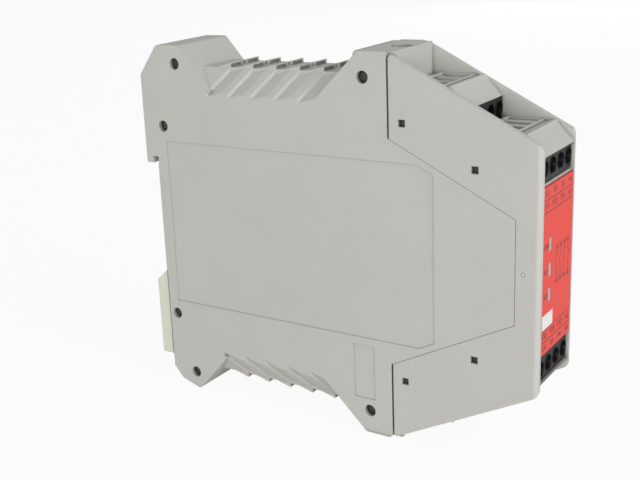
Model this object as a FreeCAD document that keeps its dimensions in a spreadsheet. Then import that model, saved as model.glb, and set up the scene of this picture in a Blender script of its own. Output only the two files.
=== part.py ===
"""Slim safety relay for a 35 mm rail: 22.5 mm wide moulded housing, a hood with
sixteen clamp terminals on four terraces, a sliding rail latch and the boards inside.

Frame: X across the width, Y front to back (the rail seat is Y = 0 and the front
faces -Y), Z up. The origin is the middle of the rail seat. Sizes are millimetres.
"""
import FreeCAD, Part

import math
import os
import re

import Sketcher

SIZES = [
    # housing
    ("width", 22.5), ("height", 100), ("wall", 1.6), ("base_depth", 72.6), ("fit_gap", 0.1),
    ("foot_rise", 5.5), ("foot_run", 3), ("foot_curve", 2.1),
    ("hook_reach", 4), ("hook_tip", 16.9), ("hook_lip", 1.9), ("hook_notch", 1.75), ("hook_round", 0.5),
    ("tower_top", 7.2), ("tower_chamfer", 6.2), ("tower_drop", 8.3), ("corner_round", 1.2),
    ("flank_run", 10.9), ("front_top", 7.7), ("front_flank", 12.5),
    ("eave_drop", 12.3), ("roof_drop", 6), ("roof_width", 13.4),
    ("front_strip", 6), ("tongue_tip", 12.8), ("tongue_drop", 20.7),
    # louvres in the roof and the floor
    ("louvre_tuck", 1.7), ("louvre_count", 5), ("louvre_step", 1.2), ("louvre_ramp", 4.7),
    ("louvre_lean", 5.1), ("gill_rise", 1.2), ("gill_ramp", 4.4), ("gill_middle", 0.9),
    ("slit_tall", 0.8), ("slit_inset", 0.6),
    # sunk fields on each side, and what joins the two halves
    ("panel_sink", 0.2), ("panel_back", 3.5), ("panel_reach", 12), ("panel_drop", 26.5),
    ("panel_corner", 4.3),
    ("plate_inset", 4.9), ("plate_long", 6), ("plate_drop", 9.5), ("plate_high", 14.9),
    ("pin_bore", 3.2), ("pin_gap", 0.1), ("pin_sink", 1.2), ("boss_wall", 0.6),
    ("pin_back_y", 8.25), ("pin_back_drop", 5), ("pin_seat_y", 2.7), ("pin_seat_drop", 22.4),
    ("pin_front_inset", 6.5), ("pin_front_drop", 6.25), ("blind_reach", 3.4),
    # hood
    ("hood_long", 38.4), ("seam_gap", 0.5), ("cap_back", 9.9), ("tower_step", 2), ("sheet", 1.4),
    ("lip", 1),    ("floor_drop", 8.2), ("row_drop", 10), ("row_step", 18), ("slope", 4.4), ("slope_run", 4.2),
    ("hood_drop", 19.7), ("hood_edge", 0.7), ("front_round", 1.2), ("ridge_rise", 0.6), ("ridge_wide", 1),
    ("window", 1.8), ("window_inset", 3.9), ("window_drop", 16.8), ("window_front_inset", 15.9),
    ("window_front_drop", 26.45), ("lock_hole", 5), ("lock_inset", 1.6), ("lock_notch", 1.2),
    ("groove_inset", 1.7), ("groove_wide", 0.5), ("gate_mark", 1), ("gate_inset", 4),
    # terminals
    ("poles", 4), ("pole_side", 1.95), ("face_sink", 0.8), ("row_tall", 6), ("axis_drop", 7.5),
    ("block_deep", 13.6), ("block_wall", 0.6), ("row_wall", 0.65), ("web", 0.7),
    ("head_sink", 2.4), ("head_tall", 1.5), ("head_gap", 0.25), ("head_wall", 0.9),
    ("shank", 2.5), ("drive_wide", 0.7), ("drive_deep", 0.8),
    ("cage_start", 6.3), ("cage_gap", 0.25), ("cage_plate", 1.2), ("cage_window", 4.1), ("cage_floor", 0.8),
    ("cage_side", 0.5), ("bar_start", 7.8), ("bar_thick", 0.8), ("bar_gap", 0.3), ("bar_tall", 1.8),
    ("wire_gap", 0.25), ("wire_long", 2.8), ("entry_start", 7.3), ("entry_long", 8),
    # front label and light guide
    ("plate_thick", 1.6), ("plate_gap", 0.4), ("label_thick", 0.6), ("label_side", 0.4),
    ("label_inset", 0.6),    ("light_x", 4.8), ("light_pitch", 6.1), ("light_wide", 1.3), ("light_tall", 3.2), ("guide_bridge", 2),
    # rail latch
    ("latch_gap", 0.3), ("latch_side", 0.35), ("latch_top", 15), ("latch_nose", 3.3), ("latch_drop", 9),
    ("tab_half", 3), ("tab_drop", 2.8), ("tab_thick", 1.6), ("latch_travel", 4), ("neck_half", 4),
    ("frame_half", 6), ("frame_thick", 2), ("frame_window", 2.5), ("frame_drop", 11),
    ("seat_relief", 0.2), ("spring_top", 20), ("spring_thick", 0.5), ("spring_half", 1.7), ("spring_deep", 1.4),
    ("spring_bends", 8),
    ("rest_thick", 1.5), ("rest_gap", 3.5),
    # boards and what they carry
    ("board_thick", 1.6), ("board_back", 7), ("board_drop", 15), ("board_inset", 15.6),
    ("front_board_drop", 10),    ("rib_deep", 1), ("rib_wide", 1.2), ("rib_long", 6), ("rib_z", 18),
    ("post_wide", 3), ("post_high", 2.25), ("post_inset", 5), ("post_z", 22),
    ("relay_back", 22), ("relay_gap", 16), ("relay_tall", 13), ("relay_high", 12.6), ("relay_z", 12),
    ("can_wide", 8), ("can_high", 12), ("can_gap", 8), ("can_step", 10),
    ("chip_long", 9), ("chip_wide", 6), ("chip_high", 1.2), ("chip_y", 14), ("chip_z", 14),
    ("header_long", 20), ("header_deep", 3), ("header_high", 4), ("led_wide", 1.6), ("led_deep", 1.1),
]

# Places and sizes that follow from the ones above
DERIVED = {
    "half": "width / 2",
    "inside": "half - wall",
    "top": "height / 2",
    "eave": "top - eave_drop",
    "roof": "top - roof_drop",
    "roof_half": "roof_width / 2",
    "tower_back": "hook_reach - tower_chamfer",
    "tower_front": "tower_back - tower_top",
    "valley_back": "tower_front - flank_run",
    "front_tower": "front_top - base_depth",
    "valley_front": "front_tower + front_flank",
    "roof_slope": "(roof - eave) / (half - roof_half)",
    "back_slope": "(top - eave) / flank_run",
    "front_slope": "(top - eave) / front_flank",
    "louvre_first": "-(valley_back + louvre_tuck)",
    "louvre_span": "-(valley_front + louvre_first + louvre_ramp + fit_gap)",
    "hood_depth": "base_depth + hood_long",
    "tongue_reach": "hood_depth - front_strip",
    "tongue_root": "top - tongue_drop",
    "tongue_slope": "(tongue_root - tongue_tip) / (tongue_reach - base_depth)",
    "panel_front": "base_depth + panel_reach",
    "panel_half": "top - panel_drop",
    "plate_front": "base_depth - plate_inset",
    "plate_back": "plate_front - plate_long",
    "plate_low": "top - plate_drop",
    "plate_top": "plate_low - plate_high",
    "pin_back_z": "top - pin_back_drop",
    "pin_seat_z": "top - pin_seat_drop",
    "pin_front_y": "base_depth - pin_front_inset",
    "pin_front_z": "top - pin_front_drop",
    "cap_reach": "base_depth - cap_back",
    "tower_face": "base_depth + tower_step",
    "floor_rear": "top - floor_drop",
    "floor_front": "floor_rear - row_drop",
    "face_rear": "hood_depth - row_step",
    "ridge_rear": "face_rear - slope_run",
    "ridge_front": "hood_depth - slope_run",
    "face_front": "hood_depth - face_sink",
    "axis_rear": "floor_rear - axis_drop",
    "axis_front": "floor_front - axis_drop",
    "hood_corner": "top - hood_drop",
    "hood_inside": "inside - fit_gap",
    "window_y": "base_depth + window_inset",
    "window_z": "top - window_drop",
    "window_front_y": "hood_depth - window_front_inset",
    "window_front_z": "top - window_front_drop",
    "lock_y": "base_depth - lock_inset",
    "groove_y": "cap_reach + groove_inset",
    "gate_y": "hood_depth - gate_inset",
    "plate_face": "hood_depth - label_thick - fit_gap",
    "plate_half": "axis_front - row_tall / 2 - plate_gap",
    "label_half": "plate_half - label_inset",
    "block_half": "hood_inside - fit_gap",
    "pole_pitch": "2 * (block_half - pole_side) / (poles - 1)",
    "head_wide": "pole_pitch - 2 * head_gap - head_wall",
    "head_seat": "head_sink + head_tall + fit_gap / 2",
    "shank_tip": "bar_start - 2 * fit_gap",
    "chamber": "head_seat + web",
    "cage_wide": "pole_pitch - 2 * cage_gap - block_wall",
    "cage_tall": "row_tall - 2 * cage_gap - 2 * row_wall",
    "cage_long": "cage_plate + cage_window + cage_floor",
    "chamber_end": "cage_start + cage_long + cage_gap",
    "bar_wide": "cage_wide - 2 * cage_side - 2 * bar_gap",
    "wire_wide": "cage_wide - 2 * wire_gap",
    "wire_start": "bar_start + bar_thick + 2 * fit_gap",
    "front_board_y": "face_rear - board_inset",
    "front_board_face": "front_board_y + board_thick",
    "front_board_half": "top - front_board_drop",
    "board_face": "post_high + board_thick - inside",
    "board_half": "top - board_drop",
    "relay_long": "front_board_y - relay_gap - relay_back",
    "can_y": "front_board_y - can_gap",
    "latch_low": "top - latch_drop",
    "frame_low": "top - frame_drop",
    "spring_low": "frame_low - frame_thick - rest_gap - rest_thick",
    "spring_long": "spring_low - spring_top",
}

document = FreeCAD.newDocument("SafetyRelay")
sheet = document.addObject("Spreadsheet::Sheet", "Sizes")
for row, (alias, number) in enumerate(SIZES, start=1):
    sheet.set(f"A{row}", alias)
    sheet.set(f"B{row}", str(number))
    sheet.setAlias(f"B{row}", alias)
document.recompute()
DRIVING = {alias for alias, number in SIZES}
POLES = int(dict(SIZES)["poles"])


def bound(expression):
    """The expression with derived names written out and driving ones pointed at their cells."""
    def cell(word):
        name = word[0]
        if name in DERIVED:
            return f"({bound(DERIVED[name])})"
        return "Sizes." + name if name in DRIVING else name
    return re.sub("[a-z_]+", cell, expression)


def value(expression):
    result = sheet.evalExpression(bound(expression))
    return float(getattr(result, "Value", result))


def new_body(label):
    body = document.addObject("PartDesign::Body", label)
    body.Label = label
    return body


def origin_part(body, role):
    return next(item for item in body.Origin.OriginFeatures if item.Role == role)


def tie(sketch, kind, target, expression):
    """Adds a driving dimension to a sketch and ties it to the sheet."""
    index = sketch.addConstraint(Sketcher.Constraint(kind, *target, value(expression)))
    sketch.setExpression(f"Constraints[{index}]", bound(expression))


def drawing(body, name, plane, place, loops):
    """A sketch across one axis at a distance along it. A loop is a list of corners
    or a circle given as (x, y, diameter); everything is tied to the sheet."""
    sketch = body.newObject("Sketcher::SketchObject", f"{body.Label}_{name}")
    sketch.AttachmentSupport = [(origin_part(body, f"{plane}_Plane"), "")]
    sketch.MapMode = "FlatFace"
    away = f"-({place})" if plane == "XZ" else place
    sketch.setExpression("AttachmentOffset.Base.z", bound(away))
    for loop in loops:
        first = sketch.GeometryCount
        if isinstance(loop, tuple):
            centre = FreeCAD.Vector(value(loop[0]), value(loop[1]), 0)
            sketch.addGeometry(Part.Circle(centre, FreeCAD.Vector(0, 0, 1), value(loop[2]) / 2), False)
            tie(sketch, "Diameter", (first,), loop[2])
            tie(sketch, "DistanceX", (-1, 1, first, 3), loop[0])
            tie(sketch, "DistanceY", (-1, 1, first, 3), loop[1])
            continue
        corners = [FreeCAD.Vector(value(x), value(y), 0) for x, y in loop]
        count = len(corners)
        for index, corner in enumerate(corners):
            sketch.addGeometry(Part.LineSegment(corner, corners[(index + 1) % count]), False)
        for index in range(count):
            after = first + (index + 1) % count
            sketch.addConstraint(Sketcher.Constraint("Coincident", first + index, 2, after, 1))
        for index, (x, y) in enumerate(loop):
            tie(sketch, "DistanceX", (-1, 1, first + index, 1), x)
            tie(sketch, "DistanceY", (-1, 1, first + index, 1), y)
    return sketch


def box(low_x, low_y, high_x, high_y):
    return [(low_x, low_y), (high_x, low_y), (high_x, high_y), (low_x, high_y)]


def feature(kind, body, name, plane, start, length, loops):
    """A pad or a pocket of a drawing, always towards the positive end of its axis."""
    profile = drawing(body, name + "_outline", plane, start, loops)
    made = body.newObject("PartDesign::" + kind, f"{body.Label}_{name}")
    made.Profile = profile
    made.setExpression("Length", bound(length))
    made.Reversed = (kind == "Pad") == (plane == "XZ")
    document.recompute()
    return made


def pad(body, name, plane, start, length, *loops):
    return feature("Pad", body, name, plane, start, length, loops)


def cut(body, name, plane, start, length, *loops):
    """A pocket that must remove something."""
    before = body.Shape.Volume
    made = feature("Pocket", body, name, plane, start, length, loops)
    if not body.Shape.Volume < before:
        raise RuntimeError(f"{made.Name} cuts nothing")
    return made


def repeat(body, made, axis, length, count, backwards=False):
    """A row of copies of a feature along an axis of the body."""
    row = body.newObject("PartDesign::LinearPattern", made.Name + "_row")
    row.Originals = [made]
    row.Direction = (origin_part(body, f"{axis}_Axis"), [""])
    row.Reversed = backwards
    row.setExpression("Length", bound(length))
    row.setExpression("Occurrences", bound(count))
    body.Tip = row
    document.recompute()
    return row


def round_edges(body, name, radius, axis, places):
    """Rounds the edges that run along an axis through the given places in the other two."""
    tip = body.Tip
    others = [index for index in range(3) if index != "XYZ".index(axis)]
    wanted = [tuple(value(number) for number in place) for place in places]
    names = []
    for number, edge in enumerate(tip.Shape.Edges, start=1):
        ends = [[vertex.Point[index] for index in others] for vertex in edge.Vertexes]
        for place in wanted:
            if len(ends) == 2 and all(math.dist(end, place) < 0.01 for end in ends):
                names.append(f"Edge{number}")
    fillet = body.newObject("PartDesign::Fillet", f"{body.Label}_{name}")
    fillet.Base = (tip, names)
    fillet.setExpression("Radius", bound(radius))
    document.recompute()
    return fillet


def across(side, near, far):
    """Where a stretch along X starts, and its length, on one side of the middle."""
    start = near if side > 0 else f"-({far})"
    return start, f"{far} - ({near})"


def housing_outline():
    """The side view of the housing, from the foot round the hook and the two towers."""
    top = [
        ("0", "hook_tip - fit_gap"),
        ("-seat_relief", "hook_tip - fit_gap"),
        ("-seat_relief", "hook_tip + hook_lip"),
        ("hook_notch", "hook_tip + hook_lip"),
        ("hook_notch", "hook_tip"),
        ("hook_reach", "hook_tip"),
        ("hook_reach", "top - tower_drop"),
        ("tower_back", "top"),
        ("tower_front", "top"),
        ("valley_back", "eave"),
        ("valley_front", "eave"),
        ("front_tower", "top"),
        ("-base_depth", "top"),
        ("-base_depth", "tongue_root"),
        ("-tongue_reach", "tongue_tip"),
    ]
    bottom = [(y, f"-({z})") for y, z in reversed(top[8:])]
    foot = [("-foot_run", "-(top - foot_curve)"), ("-seat_relief", "-(top - foot_rise)"),
            ("-seat_relief", "-(latch_top - latch_gap)"), ("0", "-(latch_top - latch_gap)")]
    return top + bottom + foot


def housing_hollow():
    """The room inside, one wall in from the outline and open at the front."""
    open_front = "-(tongue_reach + 1)"
    valley = "(eave - wall)"
    roof_in = "(roof - wall)"
    run_in = "(wall * (back_slope - 1) / back_slope)"
    top = [
        ("-wall", "hook_tip + hook_lip + wall"),
        ("hook_reach - wall", "hook_tip + hook_lip + wall"),
        ("hook_reach - wall", "top - tower_drop - wall / 2"),
        ("tower_back - wall / 2", "top - wall"),
        ("tower_front + wall / 2", "top - wall"),
        (f"valley_back + wall / 2 + {run_in}", valley),
        ("valley_front - wall / 2", valley),
        (f"valley_front - wall / 2 - ({roof_in} - {valley}) / front_slope", roof_in),
        (open_front, roof_in),
    ]
    bottom = [(y, f"-({z})") for y, z in reversed(top[4:])]
    foot = [("-(foot_run + wall / 2)", "-(top - foot_curve - wall)"),
            ("-wall", "-(top - foot_rise - wall / 2)")]
    return top + bottom + foot


def add_roof(body, side, end):
    """The ridge between the towers: a flat roof with a bevel down to the eave."""
    low = "(eave - wall)"
    points = [("0", low), ("half", low), ("half", "eave"), ("roof_half", "roof"), ("0", "roof")]
    loop = [(f"{side} * ({x})", f"{end} * ({z})") for x, z in points]
    start = "(tower_front - wall)"
    name = "roof" if end > 0 else "floor"
    pad(body, name, "XZ", "-base_depth", f"{start} + base_depth", loop)
    bay = box("-(base_depth + 1)", f"{end} * roof", "valley_front", f"{end} * (top + 1)")
    where, length = across(side, "0", "inside")
    cut(body, name + "_cap_bay", "YZ", where, length, bay)


def hollow_roof(body, side, end):
    """Opens the inside up to the ridge, one wall thick under the bevel."""
    drop = "(wall * sqrt(1 + roof_slope ^ 2))"
    edge_z = f"(eave + wall * roof_slope - {drop})"
    inner_half = f"(inside - (roof - wall - {edge_z}) / roof_slope)"
    low = "(eave - 2 * wall)"
    points = [("0", low), ("inside", low), ("inside", edge_z),
              (inner_half, "roof - wall"), ("0", "roof - wall")]
    loop = [(f"{side} * ({x})", f"{end} * ({z})") for x, z in points]
    back = "(tower_front - (top - roof) / back_slope - 1.5 * wall)"
    front = "(valley_front - (roof - eave) / front_slope + wall / 2)"
    name = "roof_hollow" if end > 0 else "floor_hollow"
    cut(body, name, "XZ", front, f"{back} - {front}", loop)


def add_louvres(body, side, end):
    """Sloping steps in the bevel, each ending in a raised gill with a slit under its edge."""
    name = "roof" if end > 0 else "floor"
    step = [("-louvre_first", "eave + fit_gap"), ("-louvre_first", "eave - louvre_step"),
            ("-(louvre_first + louvre_ramp)", "eave"), ("-(louvre_first + louvre_ramp)", "eave + fit_gap")]
    loop = [(y, f"{end} * ({z})") for y, z in step]
    run = "half - roof_half"
    recess = drawing(body, name + "_step_outline", "YZ", f"{side} * half", [loop])
    made = body.newObject("PartDesign::Pocket", f"{body.Label}_{name}_step")
    made.Profile = recess
    made.UseCustomVector = True
    made.AlongSketchNormal = True
    made.setExpression("Direction.x", bound(f"-{side} * ({run})"))
    made.setExpression("Direction.y", bound("-louvre_lean"))
    made.setExpression("Direction.z", bound(f"{end} * (roof - eave)"))
    made.setExpression("Length", bound(run))
    document.recompute()
    repeat(body, made, "Y", "louvre_span", "louvre_count", backwards=True)
    edge = "(louvre_first + louvre_lean)"
    gill = [(f"-{edge}", "roof - wall / 2"), (f"-{edge}", "roof + gill_rise"),
            (f"-({edge} - gill_ramp)", "roof"), (f"-({edge} - gill_ramp)", "roof - wall / 2")]
    where, length = across(side, "gill_middle", "roof_half")
    raised = pad(body, name + "_gill", "YZ", where, length, [(y, f"{end} * ({z})") for y, z in gill])
    repeat(body, raised, "Y", "louvre_span", "louvre_count", backwards=True)
    low = f"{end} * (roof + gill_rise - slit_tall - wall / 4)"
    high = f"{end} * (roof + gill_rise - wall / 4)"
    where, length = across(side, "gill_middle + slit_inset", "roof_half - slit_inset")
    slit = cut(body, name + "_slit", "YZ", where, length,
               box(f"-({edge} + fit_gap)", low, f"-({edge} - wall / 2)", high))
    repeat(body, slit, "Y", "louvre_span", "louvre_count", backwards=True)


def pin_places():
    """Where the pins of one half run through the other, top and bottom."""
    return [(f"-{y}", f"{end} * {z}") for end in (1, -1)
            for y, z in (("pin_back_y", "pin_back_z"), ("pin_front_y", "pin_front_z"))]


def add_panel_marks(body, side):
    """The sunk field on the side and the small sunk plate below it."""
    field = [("-panel_back", "-panel_half"), ("-panel_back", "panel_half"),
             ("-(panel_front - panel_corner)", "panel_half"),
             ("-panel_front", "panel_half - panel_corner / 2"),
             ("-panel_front", "-(panel_half - panel_corner / 2)"),
             ("-(panel_front - panel_corner)", "-panel_half")]
    where, length = across(side, "half - panel_sink", "half")
    cut(body, "panel", "YZ", where, length, field)
    cut(body, "plate", "YZ", where, length, box("-plate_front", "-plate_low", "-plate_back", "-plate_top"))


def add_latch_guide(body, side):
    """The slot for the neck of the rail latch and the rest that its spring pushes on."""
    where, length = across(side, "0", "neck_half + latch_gap")
    low = "-(frame_low + latch_travel + latch_gap)"
    cut(body, "latch_slot", "YZ", where, length, box("-(wall + 1)", low, "1", "-(spring_top - latch_gap)"))
    arm = "(wall + latch_gap + frame_thick + latch_gap)"
    nose = "frame_window - latch_gap"
    shape = [("0", f"-({arm} + wall)"), ("inside", f"-({arm} + wall)"), ("inside", f"-{arm}"),
             (nose, f"-{arm}"), (nose, "-wall"), ("0", "-wall")]
    pad(body, "spring_rest", "XY", "-(spring_low + rest_thick)", "rest_thick",
        [(f"{side} * ({x})", y) for x, y in shape])


def add_board_rails(body, side):
    """Short ribs behind the ends of the front board."""
    where, length = across(side, "inside - rib_deep", "inside + fit_gap")
    ribs = [box("-front_board_y", f"{end} * rib_z - rib_long / 2",
                "-(front_board_y - rib_wide)", f"{end} * rib_z + rib_long / 2") for end in (1, -1)]
    pad(body, "board_ribs", "YZ", where, length, *ribs)


def housing_half(label, side):
    """One half of the housing, parted at the middle of the width."""
    body = new_body(label)
    where, length = across(side, "0", "half")
    pad(body, "block", "YZ", where, length, housing_outline())
    corners = [("tower_back", "top"), ("tower_front", "top"), ("front_tower", "top"),
               ("-base_depth", "top"), ("tower_front", "-top"), ("front_tower", "-top"), ("-base_depth", "-top"),
               ("-foot_run", "-(top - foot_curve)"), ("hook_reach", "top - tower_drop")]
    round_edges(body, "corner_rounds", "corner_round", "X", corners)
    round_edges(body, "hook_round", "hook_round", "X", [("hook_reach", "hook_tip")])
    for end in (1, -1):
        add_roof(body, side, end)
    where, length = across(side, "0", "inside")
    cut(body, "hollow", "YZ", where, length, housing_hollow())
    for end in (1, -1):
        hollow_roof(body, side, end)
        add_louvres(body, side, end)
    add_latch_guide(body, side)
    add_panel_marks(body, side)
    return body


def left_shell():
    """The half with the bores; short blind ones beside the rail seat."""
    body = housing_half("left_shell", -1)
    add_board_rails(body, -1)
    posts = [(y, f"{end} * post_z", "post_wide") for end in (1, -1)
             for y in ("-(board_back + post_inset)", "-(front_board_y - post_inset)")]
    pad(body, "board_posts", "YZ", "-(inside + fit_gap)", "post_high + fit_gap", *posts)
    outer = "pin_bore + 2 * boss_wall"
    pad(body, "bosses", "YZ", "-(half - panel_sink)", "half - panel_sink - fit_gap",
        *[(y, z, outer) for y, z in pin_places()])
    cut(body, "bores", "YZ", "-(half + 1)", "half + 2", *[(y, z, "pin_bore") for y, z in pin_places()])
    seats = [("-pin_seat_y", f"{end} * pin_seat_z") for end in (1, -1)]
    pad(body, "seat_bosses", "YZ", "-(half - panel_sink)", "blind_reach + wall",
        *[(y, z, outer) for y, z in seats])
    cut(body, "seat_bores", "YZ", "-(half + 1)", "blind_reach + 1", *[(y, z, "pin_bore") for y, z in seats])
    return body


def right_shell():
    """The half with the pins, which end just under the face of the other half."""
    body = housing_half("right_shell", 1)
    add_board_rails(body, 1)
    pad(body, "pins", "YZ", "-(half - pin_sink)", "half - pin_sink + half - panel_sink",
        *[(y, z, "pin_bore - 2 * pin_gap") for y, z in pin_places()])
    return body


def terrace_sheets(end):
    """Side views of the cap with the rear terrace, and of the front terrace."""
    foot_rear = "(floor_rear - slope - fit_gap)"
    foot_front = "(floor_front - slope)"
    cap = [("-cap_reach", "roof + fit_gap"), ("-cap_reach", "top"), ("-tower_face", "top"),
           ("-tower_face", "floor_rear"), ("-ridge_rear", "floor_rear"),
           ("-face_rear", "floor_rear - slope"), ("-face_rear", foot_rear),
           ("-(face_rear - sheet)", foot_rear), ("-(ridge_rear - sheet / 2)", "floor_rear - sheet"),
           ("-(tower_face - sheet)", "floor_rear - sheet"), ("-(tower_face - sheet)", "top - sheet"),
           ("-(cap_reach + lip)", "top - sheet"), ("-(cap_reach + lip)", "roof + fit_gap")]
    front = [("-(face_rear + fit_gap)", "floor_front"), ("-ridge_front", "floor_front"),
             ("-hood_depth", foot_front), ("-(hood_depth - sheet)", foot_front),
             ("-(ridge_front - sheet / 2)", "floor_front - sheet"),
             ("-(face_rear + fit_gap)", "floor_front - sheet")]
    return [(y, f"{end} * ({z})") for y, z in cap], [(y, f"{end} * ({z})") for y, z in front]


def hood_wall():
    """The side of the hood, cut back round the tongue of the housing."""
    seam = "(base_depth + seam_gap)"
    tip = "tongue_tip + fit_gap - fit_gap * tongue_slope"
    top = [(f"-{seam}", "tongue_root + fit_gap - seam_gap * tongue_slope"),
           (f"-{seam}", "top - 2 * hood_edge"), (f"-({seam} + hood_edge)", "top - hood_edge"),
           ("-(hood_depth - hood_edge)", "hood_corner"), ("-hood_depth", "hood_corner - 2 * hood_edge")]
    bottom = [(y, f"-({z})") for y, z in reversed(top)]
    notch = [("-(tongue_reach + fit_gap)", f"-({tip})"), ("-(tongue_reach + fit_gap)", tip)]
    return top + bottom + notch


def front_hood():
    """One moulding: two sides, the caps of the front towers and the stepped terraces."""
    body = new_body("front_hood")
    body.AllowCompound = True
    thick = "wall + fit_gap"
    caps = [terrace_sheets(end) for end in (1, -1)]
    pad(body, "sheets", "YZ", "-hood_inside", "2 * hood_inside",
        caps[0][0], caps[1][0], caps[0][1], caps[1][1],
        box("-plate_face", "-plate_half", "-(plate_face - plate_thick)", "plate_half"))
    round_edges(body, "cap_rounds", "corner_round", "X", [("-cap_reach", "top"), ("-cap_reach", "-top")])
    for side in (-1, 1):
        name = "left_side" if side < 0 else "right_side"
        where, length = across(side, f"half - ({thick})", "half")
        pad(body, name, "YZ", where, length, hood_wall())
    round_edges(body, "front_rounds", "front_round", "Z",
                [("-half", "-hood_depth"), ("half", "-hood_depth")])
    first = "(-pole_pitch * (poles - 1) / 2)"
    for end in (1, -1):
        name = "upper" if end > 0 else "lower"
        for row, face, floor, ridge in (("rear", "face_rear", "floor_rear", "ridge_rear"),
                                        ("front", "face_front", "floor_front", "ridge_front")):
            start = f"{end} * {floor}" if end > 0 else f"-({floor} + ridge_rise)"
            pad(body, f"{name}_{row}_ridge", "XY", start, "ridge_rise",
                box("-hood_inside", f"-{ridge}", "hood_inside", f"-({ridge} - ridge_wide)"))
            near = f"-({face} - entry_start)"
            far = f"-({face} - entry_start - entry_long)"
            under = f"{floor} - sheet - 1" if end > 0 else f"-({floor} + 1)"
            slot = cut(body, f"{name}_{row}_entry", "XY", under, "sheet + 2",
                       box(f"{first} - wire_wide / 2", near, f"{first} + wire_wide / 2", far))
            repeat(body, slot, "X", "pole_pitch * (poles - 1)", "poles")
    places = [(y, f"{end} * {z}") for end in (1, -1)
              for y, z in (("window_y", "window_z"), ("window_front_y", "window_front_z"))]
    squares = [box(f"-({y} + window / 2)", f"{z} - window / 2", f"-({y} - window / 2)", f"{z} + window / 2")
               for y, z in places]
    cut(body, "windows", "YZ", "-(half + 1)", "width + 2", *squares)
    cut(body, "lock_holes", "XY", "-(top + 1)", "height + 2", ("0", "-lock_y", "lock_hole"))
    cut(body, "lock_notches", "XY", "top - sheet / 2", "sheet",
        box("-lock_notch / 2", "-(lock_y + lock_hole / 2 + lock_notch / 2)",
            "lock_notch / 2", "-(lock_y - lock_hole / 2 - lock_notch / 2)"))
    cut(body, "cap_groove", "XY", "top - sheet / 3", "sheet",
        box("-(hood_inside - 2 * lip)", "-(groove_y + groove_wide / 2)",
            "hood_inside - 2 * lip", "-(groove_y - groove_wide / 2)"))
    cut(body, "light_windows", "XZ", "-(hood_depth + 1)", "label_thick + plate_thick + 3",
        *lights("light_wide / 2 + fit_gap", "light_tall / 2 + fit_gap"))
    cut(body, "gate_mark", "YZ", "-half", "panel_sink", ("-gate_y", "0", "gate_mark"))
    return body


def lights(half_wide, half_tall):
    """Outlines at the places of the three lights."""
    return [box(f"-(light_x + {half_wide})", f"{row} * light_pitch - ({half_tall})",
                f"-(light_x - ({half_wide}))", f"{row} * light_pitch + {half_tall}") for row in (-1, 0, 1)]


def front_label():
    """The thin plate on the front, with windows for the three lights."""
    body = new_body("front_label")
    half = "hood_inside - label_side"
    pad(body, "plate", "XZ", "-(plate_face + label_thick)", "label_thick",
        box(f"-({half})", "-label_half", half, "label_half"),
        *lights("light_wide / 2 + fit_gap", "light_tall / 2 + fit_gap"))
    return body


def light_guide():
    """Three clear rods joined by a bridge behind the front plate."""
    body = new_body("light_guide")
    back = "(front_board_face + led_deep + fit_gap)"
    front = "(plate_face + label_thick)"
    pad(body, "rods", "XZ", f"-{front}", f"{front} - {back}", *lights("light_wide / 2", "light_tall / 2"))
    bridge = "(plate_face - plate_thick)"
    pad(body, "bridge", "XZ", f"-{bridge}", "guide_bridge",
        box("-(light_x + light_wide / 2)", "-(light_pitch + light_tall)",
            "-(light_x - light_wide / 2)", "light_pitch + light_tall"))
    return body


def rail_latch():
    """The slide that holds the lower edge of the rail, with its neck and its spring frame."""
    body = new_body("rail_latch")
    half = "(half - latch_side)"
    nose = [("latch_gap", "-latch_top"), ("hook_reach", "-(latch_top + latch_nose)"),
            ("hook_reach", "-latch_low"), ("latch_gap", "-latch_low")]
    pad(body, "plate", "YZ", f"-{half}", f"2 * {half}", nose)
    pad(body, "tab", "YZ", "-tab_half", "2 * tab_half",
        box("latch_gap", "-(latch_low + tab_drop)", "latch_gap + tab_thick", "-(latch_low - tab_thick)"))
    pad(body, "neck", "XZ", "-(wall + latch_gap)", "wall + 2 * latch_gap",
        box("-neck_half", "-frame_low", "neck_half", "-spring_top"))
    pad(body, "frame", "XZ", "-(wall + latch_gap + frame_thick)", "frame_thick",
        box("-frame_half", "-frame_low", "frame_half", "-(spring_top - 2 * frame_thick)"))
    cut(body, "window", "XZ", "-(wall + latch_gap + frame_thick + 1)",
        "wall + 2 * latch_gap + frame_thick + 1",
        box("-frame_window", "-(frame_low - frame_thick)", "frame_window", "-spring_top"))
    round_edges(body, "tab_round", "tab_thick / 2", "X",
                [("latch_gap + tab_thick", "-(latch_low + tab_drop)")])
    return body


def latch_spring():
    """The zigzag spring that keeps the latch up, in the window of its frame."""
    body = new_body("latch_spring")
    body.AllowCompound = True
    back = "-(wall + latch_gap + (frame_thick + spring_deep) / 2)"
    low = "-(spring_low - fit_gap / 2)"
    step = "((spring_long - fit_gap - spring_thick) / spring_bends)"
    arm = pad(body, "arm", "XZ", back, "spring_deep",
              box("-spring_half", low, "spring_half", f"{low} + spring_thick"))
    repeat(body, arm, "Z", f"{step} * spring_bends", "spring_bends + 1")
    for name, side, first in (("right_bend", 1, 0), ("left_bend", -1, 1)):
        start, length = across(side, "spring_half - spring_thick", "spring_half")
        bend = pad(body, name, "XZ", back, "spring_deep",
                   box(start, f"{low} + {first} * {step}",
                       f"{start} + {length}", f"{low} + {first + 1} * {step} + spring_thick"))
        repeat(body, bend, "Z", f"{step} * (spring_bends - 2)", "spring_bends / 2")
    return body


def pole_x(pole):
    return f"({pole} - (poles - 1) / 2) * pole_pitch"


ROWS = [("upper_rear", 1, "face_rear", "axis_rear", "floor_rear"),
        ("upper_front", 1, "face_front", "axis_front", "floor_front"),
        ("lower_rear", -1, "face_rear", "axis_rear", "floor_rear"),
        ("lower_front", -1, "face_front", "axis_front", "floor_front")]


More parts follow.
